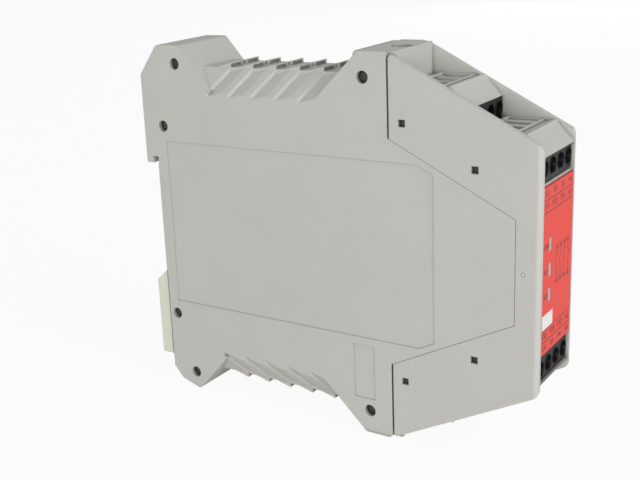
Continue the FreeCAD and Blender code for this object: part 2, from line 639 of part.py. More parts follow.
def terminal_block(row, end, face, axis, floor):
    """The black block of one row: a screw bore, a clamp chamber and a wire hole for each pole."""
    body = new_body(f"terminal_block_{row}")
    back = f"({face} - block_deep)"
    low = f"({axis} - row_tall / 2)"
    high = f"({axis} + row_tall / 2)"
    under = f"({floor} - sheet - fit_gap)"
    riser = f"({face} - entry_start)"
    outline = [(f"-{face}", low), (f"-{face}", high), (f"-{riser}", high), (f"-{riser}", under),
               (f"-{back}", under), (f"-{back}", low)]
    pad(body, "block", "YZ", "-block_half", "2 * block_half", [(y, f"{end} * ({z})") for y, z in outline])
    first = pole_x("0")
    centre = f"{end} * {axis}"
    slot = "shank / 2 + fit_gap"
    shaft = cut(body, "web_slot", "XZ", f"-({face} + 1)", "chamber + fit_gap + 1",
                box(f"{first} - ({slot})", f"{centre} - ({slot})", f"{first} + {slot}", f"{centre} + {slot}"))
    repeat(body, shaft, "X", "pole_pitch * (poles - 1)", "poles")
    seat = cut(body, "head_bore", "XZ", f"-({face} + 1)", "1 + head_seat",
               (first, centre, "head_wide + 2 * head_gap"))
    repeat(body, seat, "X", "pole_pitch * (poles - 1)", "poles")
    half = "cage_wide / 2 + cage_gap"
    tall = "cage_tall / 2 + cage_gap"
    chamber = cut(body, "chamber", "XZ", f"-({face} - chamber)", "chamber_end - chamber",
                  box(f"{first} - ({half})", f"{centre} - ({tall})", f"{first} + {half}", f"{centre} + {tall}"))
    repeat(body, chamber, "X", "pole_pitch * (poles - 1)", "poles")
    top = f"{axis}" if end > 0 else f"-({floor} + 1)"
    wire = cut(body, "wire_hole", "XY", top, f"{floor} + 1 - {axis}",
               box(f"{first} - wire_wide / 2", f"-({face} - wire_start)",
                   f"{first} + wire_wide / 2", f"-({face} - wire_start - wire_long)"))
    repeat(body, wire, "X", "pole_pitch * (poles - 1)", "poles")
    below = f"{axis} - row_tall / 2 - 1" if end > 0 else f"-({axis})"
    tail = cut(body, "tail_slot", "XY", below, "row_tall / 2 + 1",
               box(f"{first} - bar_wide / 2 - fit_gap", f"-({face} - bar_start + fit_gap)",
                   f"{first} + bar_wide / 2 + fit_gap", f"-({face} - bar_start - bar_thick - fit_gap)"))
    repeat(body, tail, "X", "pole_pitch * (poles - 1)", "poles")
    return body


def contact_bars(row, end, face, axis, floor):
    """The bars that the wires are clamped against, with tails back to the front board."""
    body = new_body(f"contact_bars_{row}")
    body.AllowCompound = True
    low = f"({axis} - row_tall / 2 - bar_thick - fit_gap)"
    near = f"-({face} - bar_start)"
    far = f"-({face} - bar_start - bar_thick)"
    outline = [(near, low), (near, f"{axis} + bar_tall"), (far, f"{axis} + bar_tall"),
               (far, f"{low} + bar_thick"), ("-front_board_face", f"{low} + bar_thick"),
               ("-front_board_face", low)]
    bar = pad(body, "bar", "YZ", f"{pole_x('0')} - bar_wide / 2", "bar_wide",
              [(y, f"{end} * ({z})") for y, z in outline])
    repeat(body, bar, "X", "pole_pitch * (poles - 1)", "poles")
    return body


def clamp_cage(name, pole, end, face, axis):
    """The cage that lifts the wire against its bar: a threaded plate, two sides and a floor."""
    body = new_body(f"clamp_cage_{name}")
    middle = pole_x(pole)
    centre = f"{end} * {axis}"
    near = f"-({face} - cage_start)"
    pad(body, "cage", "XZ", near, "cage_long",
        box(f"{middle} - cage_wide / 2", f"{centre} - cage_tall / 2",
            f"{middle} + cage_wide / 2", f"{centre} + cage_tall / 2"))
    cut(body, "window", "XZ", f"-({face} - cage_start - cage_plate)", "cage_window",
        box(f"{middle} - cage_wide / 2 + cage_side", f"{centre} - cage_tall / 2 - 1",
            f"{middle} + cage_wide / 2 - cage_side", f"{centre} + cage_tall / 2 + 1"))
    cut(body, "thread", "XZ", f"-({face} - cage_start + 1)", "cage_plate + 1.5",
        (middle, centre, "shank + 2 * fit_gap"))
    return body


def terminal_screw(name, pole, end, face, axis):
    """A slotted screw: its head turns in the block and its shank drives the cage."""
    body = new_body(f"terminal_screw_{name}")
    middle = pole_x(pole)
    centre = f"{end} * {axis}"
    pad(body, "head", "XZ", f"-({face} - head_sink)", "head_tall", (middle, centre, "head_wide"))
    pad(body, "shank", "XZ", f"-({face} - head_sink - head_tall)", "shank_tip - head_sink - head_tall",
        (middle, centre, "shank"))
    cut(body, "drive", "XZ", f"-({face} - head_sink + 1)", "drive_deep + 1",
        box(f"{middle} - head_wide", f"{centre} - drive_wide / 2",
            f"{middle} + head_wide", f"{centre} + drive_wide / 2"))
    return body


def main_board():
    """The long board along the left side."""
    body = new_body("main_board")
    pad(body, "board", "YZ", "board_face - board_thick", "board_thick",
        box("-front_board_y", "-board_half", "-board_back", "board_half"))
    return body


def front_board():
    """The board across the housing that the contact bars are soldered to."""
    body = new_body("front_board")
    pad(body, "board", "XZ", "-front_board_face", "board_thick",
        box("-(inside - fit_gap)", "-front_board_half", "inside - fit_gap", "front_board_half"))
    return body


def safety_relay(label, end):
    """One of the two force-guided relays, lying on the main board."""
    body = new_body(label)
    low = f"{end} * relay_z - relay_tall / 2"
    pad(body, "can", "YZ", "board_face", "relay_high",
        box("-(relay_back + relay_long)", low, "-relay_back", f"{low} + relay_tall"))
    return body


def board_connector():
    """The header that joins the two boards at their corner."""
    body = new_body("board_connector")
    pad(body, "header", "YZ", "board_face", "header_high",
        box("-front_board_y", "-header_long / 2", "-(front_board_y - header_deep)", "header_long / 2"))
    return body


def capacitors():
    """Three capacitors standing on the main board, in a row behind its front edge."""
    body = new_body("capacitors")
    body.AllowCompound = True
    cans = [("-can_y", f"{row} * can_step", "can_wide") for row in (-1, 0, 1)]
    pad(body, "cans", "YZ", "board_face", "can_high", *cans)
    return body


def logic_chips():
    """The two processors that check each other."""
    body = new_body("logic_chips")
    body.AllowCompound = True
    chips = [box("-(chip_y + chip_wide / 2)", f"{end} * chip_z - chip_long / 2",
                 "-(chip_y - chip_wide / 2)", f"{end} * chip_z + chip_long / 2") for end in (1, -1)]
    pad(body, "chips", "YZ", "board_face", "chip_high", *chips)
    return body


def indicator_leds():
    """The three lights on the front board, one behind each rod of the light guide."""
    body = new_body("indicator_leds")
    body.AllowCompound = True
    pad(body, "lights", "XZ", "-(front_board_face + led_deep)", "led_deep",
        *lights("led_wide / 2", "led_wide / 2"))
    return body


def check_document():
    """Stops unless every object recomputed and every piece is a valid solid."""
    document.recompute()
    for item in document.Objects:
        if "Invalid" in item.State or "Error" in item.State:
            raise RuntimeError(f"{item.Name} did not recompute")
    bodies = [item for item in document.Objects if item.TypeId == "PartDesign::Body"]
    for body in bodies:
        shape = body.Shape
        if shape.isNull() or not shape.isValid() or not shape.Solids:
            raise RuntimeError(f"{body.Label} has no valid solid")
    return bodies


def main():
    left_shell()
    right_shell()
    front_hood()
    front_label()
    light_guide()
    rail_latch()
    latch_spring()
    for row in ROWS:
        terminal_block(*row)
        contact_bars(*row)
        name, end, face, axis, floor = row
        for pole in range(POLES):
            clamp_cage(f"{name}_{pole + 1}", pole, end, face, axis)
            terminal_screw(f"{name}_{pole + 1}", pole, end, face, axis)
    main_board()
    front_board()
    board_connector()
    safety_relay("relay_k1", 1)
    safety_relay("relay_k2", -1)
    capacitors()
    logic_chips()
    indicator_leds()
    os.makedirs("parts", exist_ok=True)
    for body in check_document():
        body.Shape.exportStep(f"parts/{body.Label}.step")
        print(body.Label, len(body.Shape.Solids), round(body.Shape.Volume, 1))


main()
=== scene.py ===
"""Looks for a slim rail-mounted safety relay, laid out as an add-on and run as a script.

The frame is metres: X across the width, Y from front to back with the label facing -Y,
Z up. Each operator dresses one piece or one group of like pieces of the frame.
"""
import math

import bpy
from mathutils import Matrix, Vector


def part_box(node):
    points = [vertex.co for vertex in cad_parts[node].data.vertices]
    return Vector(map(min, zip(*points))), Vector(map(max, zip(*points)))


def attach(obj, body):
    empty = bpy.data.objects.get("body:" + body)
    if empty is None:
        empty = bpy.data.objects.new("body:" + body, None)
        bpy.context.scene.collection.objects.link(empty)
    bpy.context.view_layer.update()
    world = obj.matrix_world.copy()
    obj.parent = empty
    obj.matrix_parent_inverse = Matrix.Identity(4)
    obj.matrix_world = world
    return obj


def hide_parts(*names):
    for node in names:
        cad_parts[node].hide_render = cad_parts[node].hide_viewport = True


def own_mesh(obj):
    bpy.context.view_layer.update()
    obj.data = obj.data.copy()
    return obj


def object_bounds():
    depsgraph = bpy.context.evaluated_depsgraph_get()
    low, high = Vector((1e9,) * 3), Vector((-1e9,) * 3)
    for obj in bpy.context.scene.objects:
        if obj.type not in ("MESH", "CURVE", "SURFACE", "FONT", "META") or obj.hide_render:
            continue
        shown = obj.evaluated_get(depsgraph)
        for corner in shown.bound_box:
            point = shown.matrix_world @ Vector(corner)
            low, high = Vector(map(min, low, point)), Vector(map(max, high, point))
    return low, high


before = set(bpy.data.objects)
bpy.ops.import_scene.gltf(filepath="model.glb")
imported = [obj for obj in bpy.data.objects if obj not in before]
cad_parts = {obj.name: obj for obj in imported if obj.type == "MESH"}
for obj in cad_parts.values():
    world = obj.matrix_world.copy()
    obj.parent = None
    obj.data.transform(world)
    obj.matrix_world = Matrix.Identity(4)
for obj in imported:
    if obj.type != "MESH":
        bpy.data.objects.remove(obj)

bl_info = {
    "name": "Safety relay looks",
    "version": (1, 0, 0),
    "blender": (4, 5, 0),
    "location": "View3D > Sidebar > Safety relay",
    "description": "Finishes, label print and studio for a slim safety relay",
    "category": "Object",
}

CAD_BOX = [list(corner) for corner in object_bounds()]
BOX_LOW, BOX_HIGH = Vector(CAD_BOX[0]), Vector(CAD_BOX[1])
ROWS = ("upper_rear", "upper_front", "lower_rear", "lower_front")
POLES = (1, 2, 3, 4)
SCREW_X = [sum(corner.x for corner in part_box(f"terminal_screw_upper_front_{pole}")) / 2
           for pole in POLES]
NEXT_POLES = [(x - SCREW_X[0], 0, 0) for x in SCREW_X[1:]]
SCREWS = [f"terminal_screw_{row}_{pole}" for row in ROWS for pole in POLES]
CAGES = [f"clamp_cage_{row}_{pole}" for row in ROWS for pole in POLES]
BLOCKS = [f"terminal_block_{row}" for row in ROWS]
BARS = [f"contact_bars_{row}" for row in ROWS]
LABEL_LOW, LABEL_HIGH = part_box("front_label")
LAMP_LOW, LAMP_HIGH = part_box("light_guide")

# places and sizes of the small pieces
TURNED_STEPS, SMOOTH_ANGLE = 32, math.radians(35)
BUMP_STRENGTH = 0.6
STROKE_EDGE, TYPE_WEIGHT = 0.4, 0.012  # of the ink's height, and of the type size
LINER_OUTER, LINER_INNER, LINER_LIP, LINER_DEPTH = 0.0020, 0.00186, 0.00016, 0.0023
PIN_RADIUS, PIN_RISE, PIN_CLEAR = 0.00150, 0.00012, 0.00002
PIN_PROFILE = ((0.0, 1.0), (0.45, 1.0), (0.8, 0.6), (1.0, 0.0), (0.0, 0.0))  # of radius and rise
PINS = ((-0.00825, 0.005), (-0.0661, 0.00625), (-0.0027, 0.0224))  # y, and how far under the top
WELL_RADIUS, WELL_RISE, WELL_DEPTH, LOCK_Y = 0.0024, 0.0001, 0.0006, -0.071
LUG_SIZE, LUG_DEPTH, LUG_EDGE = (0.0008, 0.0017, 0.0017), 0.0011, 0.0002
WINDOWS = ((-0.0765, 0.0332), (-0.0951, 0.02355))  # y and z of the upper snap windows
GATE_Y, GATE_DEPTH = -0.107, 0.0002
GATE_PROFILE = ((0.0, 0.00018), (0.0003, 0.00015), (0.00045, 0.0), (0.0, 0.0))
FRAME_SIDE, FRAME_EDGE = 0.3, 0.35  # of the rim's width, and of the frame's rise
RAMP_SHARE, RAMP_FALL = 0.45, 0.85  # of an entry's length, and of the ramp's height
RAMP_STEP, RAMP_PLAY = 0.0002, 0.0001
RAMP_GAP, RAMP_LIFT, RAMP_EDGE = 0.00005, 0.00004, 0.00008
SPRING_EDGE = 0.00006
MERGE = 0.000001
FILM_HALF, LAMP_HALF, LAMP_TALL, LAMP_PITCH = 0.0095, 0.0007, 0.00165, 0.0061
FIELD_RIGHT, FIELD_TALL = -0.0024, 0.0036

# the contact diagram: heights and leans are shares of its half height
CONTACTS = (("13", "14"), ("23", "24"), ("33", "34"), ("41", "42"))  # the last one opens
CONTACT_REST, CONTACT_PIVOT, CONTACT_FOOT = 0.42, -0.30, -0.28
CLOSING_LEAN, OPENING_LEAN = -0.24, 0.22
OPENING_STOP, DIAGRAM_RULE = 1.3, 0.7  # of the lean, and of the rule's width

# the studio: lamps aim at the middle of the relay
AIM = Vector((0, -0.055, 0))
KEY_PLACE, KEY_SIZE = (-1.20, -0.40, 0.06), 0.6
FILL_PLACE, FILL_SIZE = (-0.25, -1.10, 0.42), 0.7
SIDE_PLACE, SIDE_SIZE = (1.20, 0.05, 0.02), 0.7
FLOOR_SIZE, FLOOR_WHITE = 12, 0.93
CAMERA_PLACE, CAMERA_SHIFT = (-0.23329, -0.1929, 0.08237), (0.109, -0.028)
CAMERA_TURN, CAMERA_RISE, CAMERA_ROLL = (math.radians(angle) for angle in (-53.854, 16.036, -3.235))


# sizes and colours that a user may change

class PlasticSettings(bpy.types.PropertyGroup):
    housing: bpy.props.FloatVectorProperty(
        name="Housing colour", description="Warm light grey of the shells and the hood",
        subtype="COLOR", size=3, min=0, max=1, default=(0.556, 0.550, 0.515))
    block: bpy.props.FloatVectorProperty(
        name="Terminal block colour", description="Near black of the four terminal blocks",
        subtype="COLOR", size=3, min=0, max=1, default=(0.022, 0.021, 0.020))
    latch: bpy.props.FloatVectorProperty(
        name="Latch colour", description="Cream of the sliding rail latch",
        subtype="COLOR", size=3, min=0, max=1, default=(0.72, 0.73, 0.61))
    label: bpy.props.FloatVectorProperty(
        name="Label colour", description="Red of the front label",
        subtype="COLOR", size=3, min=0, max=1, default=(0.82, 0.076, 0.058))
    grain: bpy.props.FloatProperty(
        name="Grain depth", description="Height of the spark texture on the mouldings",
        subtype="DISTANCE", unit="LENGTH", min=0, max=0.0002, precision=6, default=0.00002)
    edge: bpy.props.FloatProperty(
        name="Edge radius", description="How far the moulded edges look rounded",
        subtype="DISTANCE", unit="LENGTH", min=0, max=0.002, precision=5, default=0.00022)


class PrintSettings(bpy.types.PropertyGroup):
    ink: bpy.props.FloatVectorProperty(
        name="Ink colour", description="Dark ink of the rules, numbers and diagram",
        subtype="COLOR", size=3, min=0, max=1, default=(0.055, 0.018, 0.020))
    film: bpy.props.FloatProperty(
        name="Film thickness", description="Thickness of the printed film over the label plate",
        subtype="DISTANCE", unit="LENGTH", min=0.000005, max=0.00004, precision=6, default=0.00003)
    lift: bpy.props.FloatProperty(
        name="Ink height", description="How far the print stands on the label",
        subtype="DISTANCE", unit="LENGTH", min=0.000005, max=0.00008, precision=6, default=0.00002)
    rule: bpy.props.FloatProperty(
        name="Rule width", description="Width of the lines between the rows of numbers",
        subtype="DISTANCE", unit="LENGTH", min=0.00005, max=0.001, precision=5, default=0.00022)
    row_outer: bpy.props.FloatProperty(
        name="Outer row height", description="Height of the row of numbers next to the terminals",
        subtype="DISTANCE", unit="LENGTH", min=0.001, max=0.006, precision=5, default=0.0031)
    row_inner: bpy.props.FloatProperty(
        name="Inner row height", description="Height of the second row of numbers",
        subtype="DISTANCE", unit="LENGTH", min=0.001, max=0.006, precision=5, default=0.00295)
    number: bpy.props.FloatProperty(
        name="Number size", description="Type size of the terminal numbers",
        subtype="DISTANCE", unit="LENGTH", min=0.0005, max=0.005, precision=5, default=0.0018)
    stretch: bpy.props.FloatProperty(
        name="Type width", description="How wide the type is set against its height",
        min=0.8, max=1.6, default=1.2)
    small: bpy.props.FloatProperty(
        name="Small type size", description="Type size of the lamp names and the diagram",
        subtype="DISTANCE", unit="LENGTH", min=0.0005, max=0.005, precision=5, default=0.0017)
    diagram_left: bpy.props.FloatProperty(
        name="Diagram left", description="Place of the diagram's first contact across the label",
        subtype="DISTANCE", unit="LENGTH", min=-0.009, max=0.009, precision=5, default=-0.0004)
    diagram_pitch: bpy.props.FloatProperty(
        name="Diagram pitch", description="Distance between the contacts of the diagram",
        subtype="DISTANCE", unit="LENGTH", min=0.001, max=0.004, precision=5, default=0.0025)
    diagram_half: bpy.props.FloatProperty(
        name="Diagram half height", description="From the middle of the diagram to its ends",
        subtype="DISTANCE", unit="LENGTH", min=0.001, max=0.008, precision=5, default=0.0033)


class TerraceSettings(bpy.types.PropertyGroup):
    rise: bpy.props.FloatProperty(
        name="Frame rise", description="How far the frame round the wire entries stands up",
        subtype="DISTANCE", unit="LENGTH", min=0.0001, max=0.0006, precision=5, default=0.00055)
    rim: bpy.props.FloatProperty(
        name="Rim width", description="Width of the frame in front of and behind the entries",
        subtype="DISTANCE", unit="LENGTH", min=0.0002, max=0.002, precision=5, default=0.0008)
    inset: bpy.props.FloatProperty(
        name="Entry inset", description="From the face of the block back to its wire entries",
        subtype="DISTANCE", unit="LENGTH", min=0.004, max=0.012, precision=5, default=0.0073)
    length: bpy.props.FloatProperty(
        name="Entry length", description="Length of a wire entry from front to back",
        subtype="DISTANCE", unit="LENGTH", min=0.004, max=0.01, precision=5, default=0.008)
    width: bpy.props.FloatProperty(
        name="Entry width", description="Width of one wire entry",
        subtype="DISTANCE", unit="LENGTH", min=0.002, max=0.0045, precision=5, default=0.0034)
    sheet: bpy.props.FloatProperty(
        name="Terrace thickness", description="From the top of a block to the floor of its terrace",
        subtype="DISTANCE", unit="LENGTH", min=0.001, max=0.002, precision=5, default=0.0015)


class StageSettings(bpy.types.PropertyGroup):
    sky: bpy.props.FloatProperty(
        name="Sky level", description="Strength of the even light from all round",
        min=0, max=2, default=0.36)
    key: bpy.props.FloatProperty(
        name="Key lamp", description="Power of the soft lamp on the left",
        unit="POWER", min=0, max=50, default=9.2)
    fill: bpy.props.FloatProperty(
        name="Fill lamp", description="Power of the soft lamp in front",
        unit="POWER", min=0, max=50, default=6.1)
    side: bpy.props.FloatProperty(
        name="Side lamp", description="Power of the soft lamp on the right",
        unit="POWER", min=0, max=50, default=5.0)
    lens: bpy.props.FloatProperty(
        name="Lens", description="Focal length of the camera",
        unit="CAMERA", min=20, max=200, default=59.96)


# small steps that the operators share

def only(*pieces):
    """Leaves just these objects selected, the first one active."""
    for other in bpy.context.selected_objects:
        other.select_set(False)
    for piece in pieces:
        piece.select_set(True)
    bpy.context.view_layer.objects.active = pieces[0]


def settle(piece):
    """Moves place, turn and scale of an object into its mesh."""
    only(piece)
    bpy.ops.object.transform_apply(location=True, rotation=True, scale=True)
    return piece


def joined(name, pieces):
    """One named piece from several."""
    only(*pieces)
    if len(pieces) > 1:
        bpy.ops.object.join()
    piece = bpy.context.view_layer.objects.active
    piece.name = name
    piece.data.name = name
    return settle(piece)


def added(primitive, **values):
    """The object that a primitive's operator makes, with nothing else selected."""
    bpy.ops.object.select_all(action="DESELECT")
    primitive(**values)
    return bpy.context.active_object


def open_mesh():
    """Goes into edit mode with the whole mesh selected."""
    bpy.ops.object.mode_set(mode="EDIT")
    bpy.ops.mesh.select_all(action="SELECT")


def close_mesh():
    """Goes back to object mode, where code can select by place."""
    bpy.ops.object.mode_set(mode="OBJECT")


def bevelled(piece, width, segments):
    """Bevels every edge of a piece."""
    only(piece)
    open_mesh()
    bpy.ops.mesh.bevel(offset=width, segments=segments, affect="EDGES")
    close_mesh()
    return piece


def sliced(axis, places):
    """Cuts the open mesh straight across an axis (0, 1 or 2) at each place."""
    normal = [int(index == axis) for index in range(3)]
    for place in places:
        bpy.ops.mesh.select_all(action="SELECT")
        bpy.ops.mesh.bisect(plane_co=[place * step for step in normal], plane_no=normal)


def pierced(piece, inside):
    """Takes the faces out of the open mesh whose centres pass a test."""
    bpy.ops.mesh.select_all(action="DESELECT")
    close_mesh()
    for face in piece.data.polygons:
        face.select = inside(face.center)
    bpy.ops.object.mode_set(mode="EDIT")
    bpy.ops.mesh.select_mode(type="FACE")
    bpy.ops.mesh.delete(type="FACE")


def applied(piece):
    """Applies the modifiers of a piece, first to last."""
    only(piece)
    for name in [modifier.name for modifier in piece.modifiers]:
        bpy.ops.object.modifier_apply(modifier=name)
    return settle(piece)


def copied(piece, shifts):
    """A piece and its copies, each with its own mesh, at these shifts."""
    made = [piece]
    for shift in shifts:
        only(piece)
        bpy.ops.object.duplicate(linked=False)
        bpy.ops.transform.translate(value=shift)
        made.append(bpy.context.active_object)
    return made


def stroke(start, end, width, layer):
    """A bar of ink in the plane of the label from one point (x, z) to another."""
    low_y, high_y = layer
    span = Vector((end[0] - start[0], end[1] - start[1]))
    middle = ((start[0] + end[0]) / 2, (low_y + high_y) / 2, (start[1] + end[1]) / 2)
    bar = added(bpy.ops.mesh.primitive_cube_add, size=1, location=middle,
                rotation=(0, -math.atan2(span.y, span.x), 0))
    bar.scale = (span.length, high_y - low_y, width)
    return bevelled(settle(bar), (high_y - low_y) * STROKE_EDGE, 1)


def lettering(text, size, stretch, x, z, layer):
    """Plain type standing on the label, centred on a point."""
    low_y, high_y = layer
    words = added(bpy.ops.object.text_add, location=(x, high_y, z),
                  rotation=(math.radians(90), 0, 0))
    words.scale.x = stretch
    words.data.body = text
    words.data.size = size
    words.data.align_x = "CENTER"
    words.data.align_y = "CENTER"
    words.data.offset = size * TYPE_WEIGHT
    words.data.extrude = (high_y - low_y) / 2
    words.data.resolution_u = 3
    bpy.ops.object.convert(target="MESH")
    words = settle(bpy.context.active_object)
    words.location.y = -(high_y - low_y) / 2
    return settle(words)


def dress(piece, material):
    """Gives a new piece its only material."""
    piece.data.materials.clear()
    piece.data.materials.append(material)


def fixed(piece, material):
    """Finishes a new piece and fixes it to the housing."""
    dress(piece, material)
    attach(piece, "housing")


def dress_nodes(names, material):
    """Gives CAD nodes a material through their own slots."""
    for name in names:
        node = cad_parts.get(name)
        if node is None:
            raise RuntimeError(f"the frame has no node {name}")
        if not node.material_slots:
            node.data.materials.append(material)
        for place in node.material_slots:
            place.material = material


# node groups

def new_group(name, inputs, outputs):
    """A node group with named sockets, and its two end nodes."""
    tree = bpy.data.node_groups.new(name, "ShaderNodeTree")
    for label, kind, default in inputs:
        socket = tree.interface.new_socket(name=label, in_out="INPUT", socket_type=kind)
        socket.default_value = default
    for label, kind in outputs:
        tree.interface.new_socket(name=label, in_out="OUTPUT", socket_type=kind)
    start = tree.nodes.new("NodeGroupInput")
    end = tree.nodes.new("NodeGroupOutput")
    return tree, start, end


def node(tree, kind, settings=None, **values):
    """A node with its settings and the values or links of its inputs."""
    made = tree.nodes.new(kind)
    for name, value in (settings or {}).items():
        setattr(made, name, value)
    for key, value in values.items():
        key = key.replace("_", " ")
        place = made.inputs[int(key[5:])] if key.startswith("input") else made.inputs[key]
        if isinstance(value, bpy.types.NodeSocket):
            tree.links.new(value, place)
        else:
            place.default_value = value
    return made


def noise(tree, place, scale, detail, roughness=0.5):
    """A noise over a piece."""
    return node(tree, "ShaderNodeTexNoise", Vector=place, Scale=scale, Detail=detail,
                Roughness=roughness).outputs["Fac"]


def mapped(tree, value, first, last, low, high):
    """A value whose stretch from first to last is moved to low to high."""
    return node(tree, "ShaderNodeMapRange", Value=value, From_Min=first, From_Max=last,
                To_Min=low, To_Max=high).outputs["Result"]


def calculated(tree, operation, first, second, clamp=False):
    """The result of one step of arithmetic."""
    return node(tree, "ShaderNodeMath", {"operation": operation, "use_clamp": clamp},
                input0=first, input1=second).outputs["Value"]


def scaled(tree, colour, amount):
    """A colour made darker or lighter."""
    return node(tree, "ShaderNodeVectorMath", {"operation": "SCALE"},
                input0=colour, Scale=amount).outputs["Vector"]


def blended(tree, amount, first, second):
    """A colour between two others."""
    return node(tree, "ShaderNodeMix", {"data_type": "RGBA"},
                input0=amount, input6=first, input7=second).outputs[2]


def put_out(tree, end, **values):
    """Links the outputs of a node group."""
    for name, value in values.items():
        tree.links.new(value, end.inputs[name])


def edge_mask(tree, radius):
    """How far the surface turns within a radius, 0 flat to 1 sharp, and the rounded normal."""
    rounded = node(tree, "ShaderNodeBevel", {"samples": 6}, Radius=radius).outputs["Normal"]
    along = node(tree, "ShaderNodeVectorMath", {"operation": "DOT_PRODUCT"}, input0=rounded,
                 input1=node(tree, "ShaderNodeNewGeometry").outputs["Normal"])
    return mapped(tree, along.outputs["Value"], 0.995, 0.75, 0.0, 1.0), rounded


def moulded_group():
    """Moulded plastic: fine spark grain, slow change of shade, a painted highlight on soft edges
    and painted shade in crevices.
    """
    tree, start, end = new_group(
        "Moulded plastic",
        [("Colour", "NodeSocketColor", (0.5, 0.5, 0.5, 1)), ("Roughness", "NodeSocketFloat", 0.5),
         ("Grain Scale", "NodeSocketFloat", 4000.0), ("Shade Change", "NodeSocketFloat", 0.04),
         ("Painted Edge Highlight", "NodeSocketFloat", 0.1), ("Edge Radius", "NodeSocketFloat", 0.0002),
         ("Painted Crevice Shade", "NodeSocketFloat", 0.4)],
        [("Colour", "NodeSocketColor"), ("Roughness", "NodeSocketFloat"),
         ("Height", "NodeSocketFloat"), ("Normal", "NodeSocketVector")])
    colour = start.outputs["Colour"]
    place = node(tree, "ShaderNodeTexCoord").outputs["Object"]
    fine = noise(tree, place, start.outputs["Grain Scale"], 2.5, 0.6)
    broad = noise(tree, place, 38.0, 3.0, 0.55)
    darkest = calculated(tree, "SUBTRACT", 1.0, start.outputs["Shade Change"])
    slow = mapped(tree, broad, 0.35, 0.65, darkest, 1.0)
    speck = mapped(tree, fine, 0.3, 0.7, 0.97, 1.02)
    base = scaled(tree, colour, calculated(tree, "MULTIPLY", slow, speck))
    # painted highlight: where the surface turns at an edge, the colour is blended towards a lighter
    # copy of itself
    mask, rounded = edge_mask(tree, start.outputs["Edge Radius"])
    amount = calculated(tree, "MULTIPLY", mask, start.outputs["Painted Edge Highlight"], clamp=True)
    with_edge_highlight = blended(tree, amount, base, scaled(tree, colour, 1.18))
    # painted shade: ambient occlusion darkens the colour in creases, seams, slots and hollows
    crevice_occlusion = node(tree, "ShaderNodeAmbientOcclusion", {"samples": 6}, Distance=0.0015).outputs["AO"]
    painted_crevice_shade = mapped(tree, crevice_occlusion, 0.25, 0.85, start.outputs["Painted Crevice Shade"], 1.0)
    uneven = mapped(tree, broad, 0.3, 0.7, -0.05, 0.05)
    put_out(tree, end, Colour=scaled(tree, with_edge_highlight, painted_crevice_shade), Height=fine, Normal=rounded,
            Roughness=calculated(tree, "ADD", start.outputs["Roughness"], uneven, clamp=True))
    return tree


def metal_group():
    """Plated or drawn metal: long fine scratches, cloudy shade and a painted highlight on the
    edges.
    """
    tree, start, end = new_group(
        "Worked metal",
        [("Colour", "NodeSocketColor", (0.6, 0.6, 0.6, 1)), ("Roughness", "NodeSocketFloat", 0.35),
         ("Scratch Scale", "NodeSocketFloat", 2500.0), ("Edge Radius", "NodeSocketFloat", 0.0001)],
        [("Colour", "NodeSocketColor"), ("Roughness", "NodeSocketFloat"),
         ("Height", "NodeSocketFloat"), ("Normal", "NodeSocketVector")])
    colour = start.outputs["Colour"]
    place = node(tree, "ShaderNodeTexCoord").outputs["Object"]
    drawn = node(tree, "ShaderNodeMapping", Vector=place, Scale=(1.0, 0.08, 1.0)).outputs["Vector"]
    lines = noise(tree, drawn, start.outputs["Scratch Scale"], 3.0, 0.6)
    shade = mapped(tree, noise(tree, place, 420.0, 2.0), 0.3, 0.7, 0.82, 1.0)
    mask, rounded = edge_mask(tree, start.outputs["Edge Radius"])
    uneven = mapped(tree, lines, 0.3, 0.7, -0.08, 0.10)
    # painted highlight: the colour turns lighter where the surface turns at an edge
    put_out(tree, end, Height=lines, Normal=rounded,
            Colour=blended(tree, mask, scaled(tree, colour, shade), scaled(tree, colour, 1.25)),
            Roughness=calculated(tree, "ADD", start.outputs["Roughness"], uneven, clamp=True))
    return tree


def board_group():
    """Solder mask: two greens in a maze of bands, raised where a track lies under it."""
    tree, start, end = new_group(
        "Solder mask",
        [("Colour", "NodeSocketColor", (0.02, 0.16, 0.06, 1)),
         ("Track Scale", "NodeSocketFloat", 260.0)],
        [("Colour", "NodeSocketColor"), ("Roughness", "NodeSocketFloat"),
         ("Height", "NodeSocketFloat")])
    colour = start.outputs["Colour"]
    place = node(tree, "ShaderNodeTexCoord").outputs["Object"]
    tracks = node(tree, "ShaderNodeTexBrick", {"offset": 0.35}, Vector=place, Mortar_Size=0.03,
                  Mortar_Smooth=0.2, Scale=start.outputs["Track Scale"]).outputs["Fac"]
    put_out(tree, end, Height=tracks,
            Colour=blended(tree, tracks, colour, scaled(tree, colour, 1.7)),
            Roughness=mapped(tree, noise(tree, place, 900.0, 2.0), 0.3, 0.7, 0.25, 0.4))
    return tree


GROUPS = {}


def shared(name):
    """A node group, built the first time it is asked for."""
    makers = {"moulded": moulded_group, "metal": metal_group, "board": board_group}
    if name not in GROUPS:
        GROUPS[name] = makers[name]()
    return GROUPS[name]


def finish(name, group, values, depth, **shader_values):
    """A material made of a shared group, a bump and one shader."""
    material = bpy.data.materials.new(name)
    material.use_nodes = True
    tree = material.node_tree
    tree.nodes.clear()
    effect = node(tree, "ShaderNodeGroup", {"node_tree": shared(group)})
    for key, value in values.items():
        effect.inputs[key].default_value = value
    bump = node(tree, "ShaderNodeBump", Strength=BUMP_STRENGTH, Distance=depth,
                Height=effect.outputs["Height"])
    if "Normal" in effect.outputs:
        tree.links.new(effect.outputs["Normal"], bump.inputs["Normal"])
    shader = node(tree, "ShaderNodeBsdfPrincipled", Base_Color=effect.outputs["Colour"],
                  Roughness=effect.outputs["Roughness"], Normal=bump.outputs["Normal"],
                  **shader_values)
    node(tree, "ShaderNodeOutputMaterial", Surface=shader.outputs["BSDF"])
    return material


def full(colour):
    """A colour with its alpha."""
    return (colour[0], colour[1], colour[2], 1)


# operators

